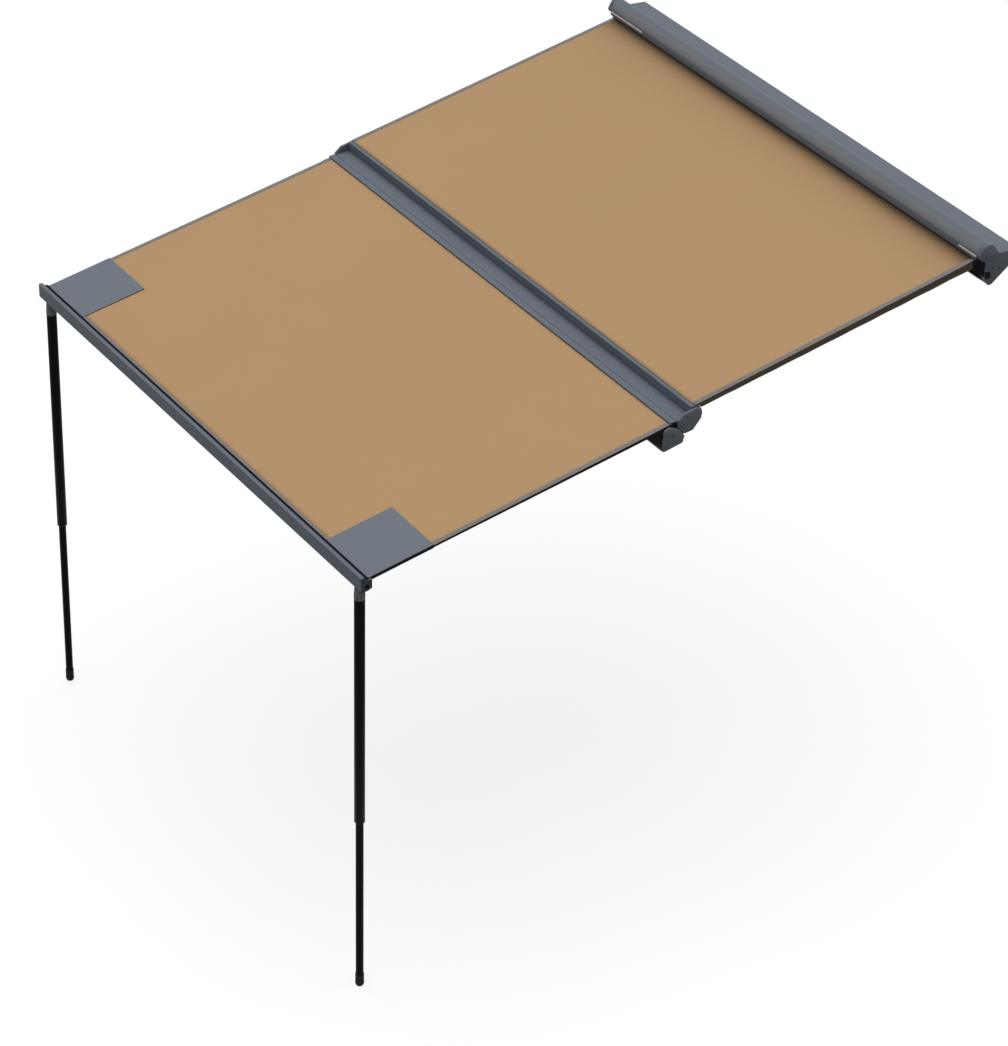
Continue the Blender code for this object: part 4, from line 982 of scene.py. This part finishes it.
# %% Seals, pads and painted shade plates
# Painted shade: the mid beam's black plates fill its shaded end gaps, and the black mouth seals also darken
# the shaded ends of the mouth.
DARK_PLATES = (
    ("mouth_seal_", "cassette", LIP, HALF_CASSETTE + FIT, CASSETTE_END, 0.0003,
     [(0.0298, -0.03), (0.0298, -0.0985), (0.0288, -0.0985), (0.0288, -0.03)]),
    ("mouth_pad_", "cassette", LIP, 1.2725, 1.274, 0.0005,
     [(0.0305, -0.077, 0.002), (0.059, -0.0815, 0.003), (0.065, -0.109, 0.003), (0.037, -0.112, 0.002)]),
    ("mid_baffle_", "mid_beam", MID, HALF_MID + FIT, HALF_MID + 0.0018, 0.0003,
     [(-0.03, -0.0135), (0.033, -0.005), (0.033, -0.024), (0.064, -0.063), (0.064, -0.07),
      (0.04, -0.033), (-0.0035, -0.015), (-0.0293, -0.021)]))
for side, label in SIDES:
    for name, body, origin, inside, outside, rim, outline in DARK_PLATES:
        piece(name + label, plate(outline, side * inside, side * outside, origin, rim), BLACK_RUBBER_AND_SHADE, body)
print(len(DARK_PLATES), "dark plates at each side")

# %% Leg pieces
LEG_PIECES = (
    ("leg_tube_", LEG_BLACK, "leg_upper_", "leg_black", "leg_upper_tube_",
     [(0.0198, -0.0822), (0.0206, -0.082), (0.021, -0.0828), (0.021, -1.1092), (0.0206, -1.11),
      (0.02, -1.11), (0.02, -0.0822)]),
    ("leg_guide_", NYLON_BLACK, "leg_upper_", "nylon_black", "leg_bush_",
     [(0.0197, -1.0703), (0.0197, -1.1103), (0.021, -1.1103), (0.0212, -1.1112), (0.021, -1.1134),
      (0.0203, -1.114), (0.016, -1.114), (0.0158, -1.1135), (0.0158, -1.0703), (0.0197, -1.0703)]),
    ("leg_slide_tube_", LEG_BLACK, "leg_lower_", "leg_black", "leg_lower_tube_",
     [(0.0155, -0.98), (0.0155, -1.055), (0.0197, -1.055), (0.0197, -1.07), (0.0155, -1.07),
      (0.0155, -1.8898), (0.014, -1.8899), (0.014, -0.98), (0.0155, -0.98)]),
    ("leg_foot_cap_", FOOT_RUBBER, "leg_lower_", "nylon_black", "leg_foot_",
     [(0, -1.8902), (0.0158, -1.8902), (0.0158, -1.8659), (0.0163, -1.8652), (0.0171, -1.8656),
      (0.0175, -1.867), (0.0175, -1.879), (0.0168, -1.88), (0.0168, -1.8815), (0.0175, -1.8825),
      (0.0175, -1.9035), (0.018, -1.9075), (0.0179, -1.9115), (0.0168, -1.917), (0.014, -1.922),
      (0.0095, -1.925), (0.0045, -1.92585), (0, -1.92595)]))
for side, label in SIDES:
    for name, finish, body, slot, node, profile in LEG_PIECES:
        piece(name + label, turned(profile, leg_pivot(side)), finish, body + label, node + label)
print("legs reach %.4f m below their pivots" % -LEG_PIECES[-1][-1][-1][1])

# %% [markdown]
# ## Rollers
# The rollers are hardly seen, but they carry the rest of the cloth: a steel tube with a few turns of fabric
# on it. The winding is a spiral drawn out along x, so its ends show the turns.

# %% Rollers and winding
ROLLERS = (("roller_inner", "inner_roller", LIP + Vector((0, 0.043, 0.001)), 0.026, 1.248, 0.0138, 0.008),
           ("roller_outer", "outer_roller", MID + Vector((0, 0.088, -0.031)), 0.016, 1.234, 0.0099, 0.006))
WINDING_DEPTH, TURNS, SPIRAL_STEPS, TUBE_END = 0.0022, 2.25, 90, 0.006
for name, body, centre, radius, half, stub, journal in ROLLERS:
    core, reach = radius - WINDING_DEPTH, half + stub
    end = [(0.003, reach), (journal - 0.0006, reach), (journal, reach - 0.0006), (journal, half),
           (core, half)]
    tube = end + [(r, -x) for r, x in reversed(end)] + end[:1]
    piece(name + "_tube", turned(tube, centre, (1, 0, 0)), ROLLER_STEEL, body, name)
    form = bmesh.new()
    spiral = []
    for k in range(SPIRAL_STEPS + 1):
        r = core + 0.0002 + (radius - core - 0.0003) * k / SPIRAL_STEPS
        a = 2 * pi * TURNS * k / SPIRAL_STEPS
        spiral.append((TUBE_END - half, centre.y + r * cos(a), centre.z + r * sin(a)))
    edges = chain(form, spiral)[1]
    draw_out(form, bmesh.ops.extrude_edge_only(form, edges=edges), 2 * (half - TUBE_END))
    align_faces(form)
    walled(piece(name + "_winding", form, CANOPY_TAN, body), 0.0004, 0)
    print("%s: %.0f mm across, %.3f m long" % (name, 2000 * radius, 2 * half))

# %% [markdown]
# ## Arms, brackets and small parts
# These keep their CAD form. A merged copy of each gets eased edges, so that cast and cut edges catch a
# fine line of light as real ones do. The upper glide strips show only half of their depth at the mouth.

# %% Dressed CAD parts
DRESSED = ("upper_arm", "forearm", "shoulder_bracket", "wrist_bracket", "mount_bracket", "glide_strip",
           "rail_cap", "leg_swivel", "leg_head")
OWN_FINISH = {"rail_cap": RAIL_END_DARK, "leg_swivel": SWIVEL_BLACK, "leg_head": HEAD_GREY}
for node_name in frame["nodes"]:
    kind = next((kind for kind in DRESSED if node_name.startswith(kind)), None)
    if kind is None:
        continue
    made = dressed(node_name, OWN_FINISH.get(kind, FINISH_OF[SLOTS[node_name]]))
    if node_name.startswith("glide_strip_upper"):
        top = max(v.co.z for v in made.data.vertices)
        for vertex in made.data.vertices:
            vertex.co.z = top + (vertex.co.z - top) * 0.5
print(sum(name.startswith(DRESSED) for name in frame["nodes"]), "CAD parts dressed")
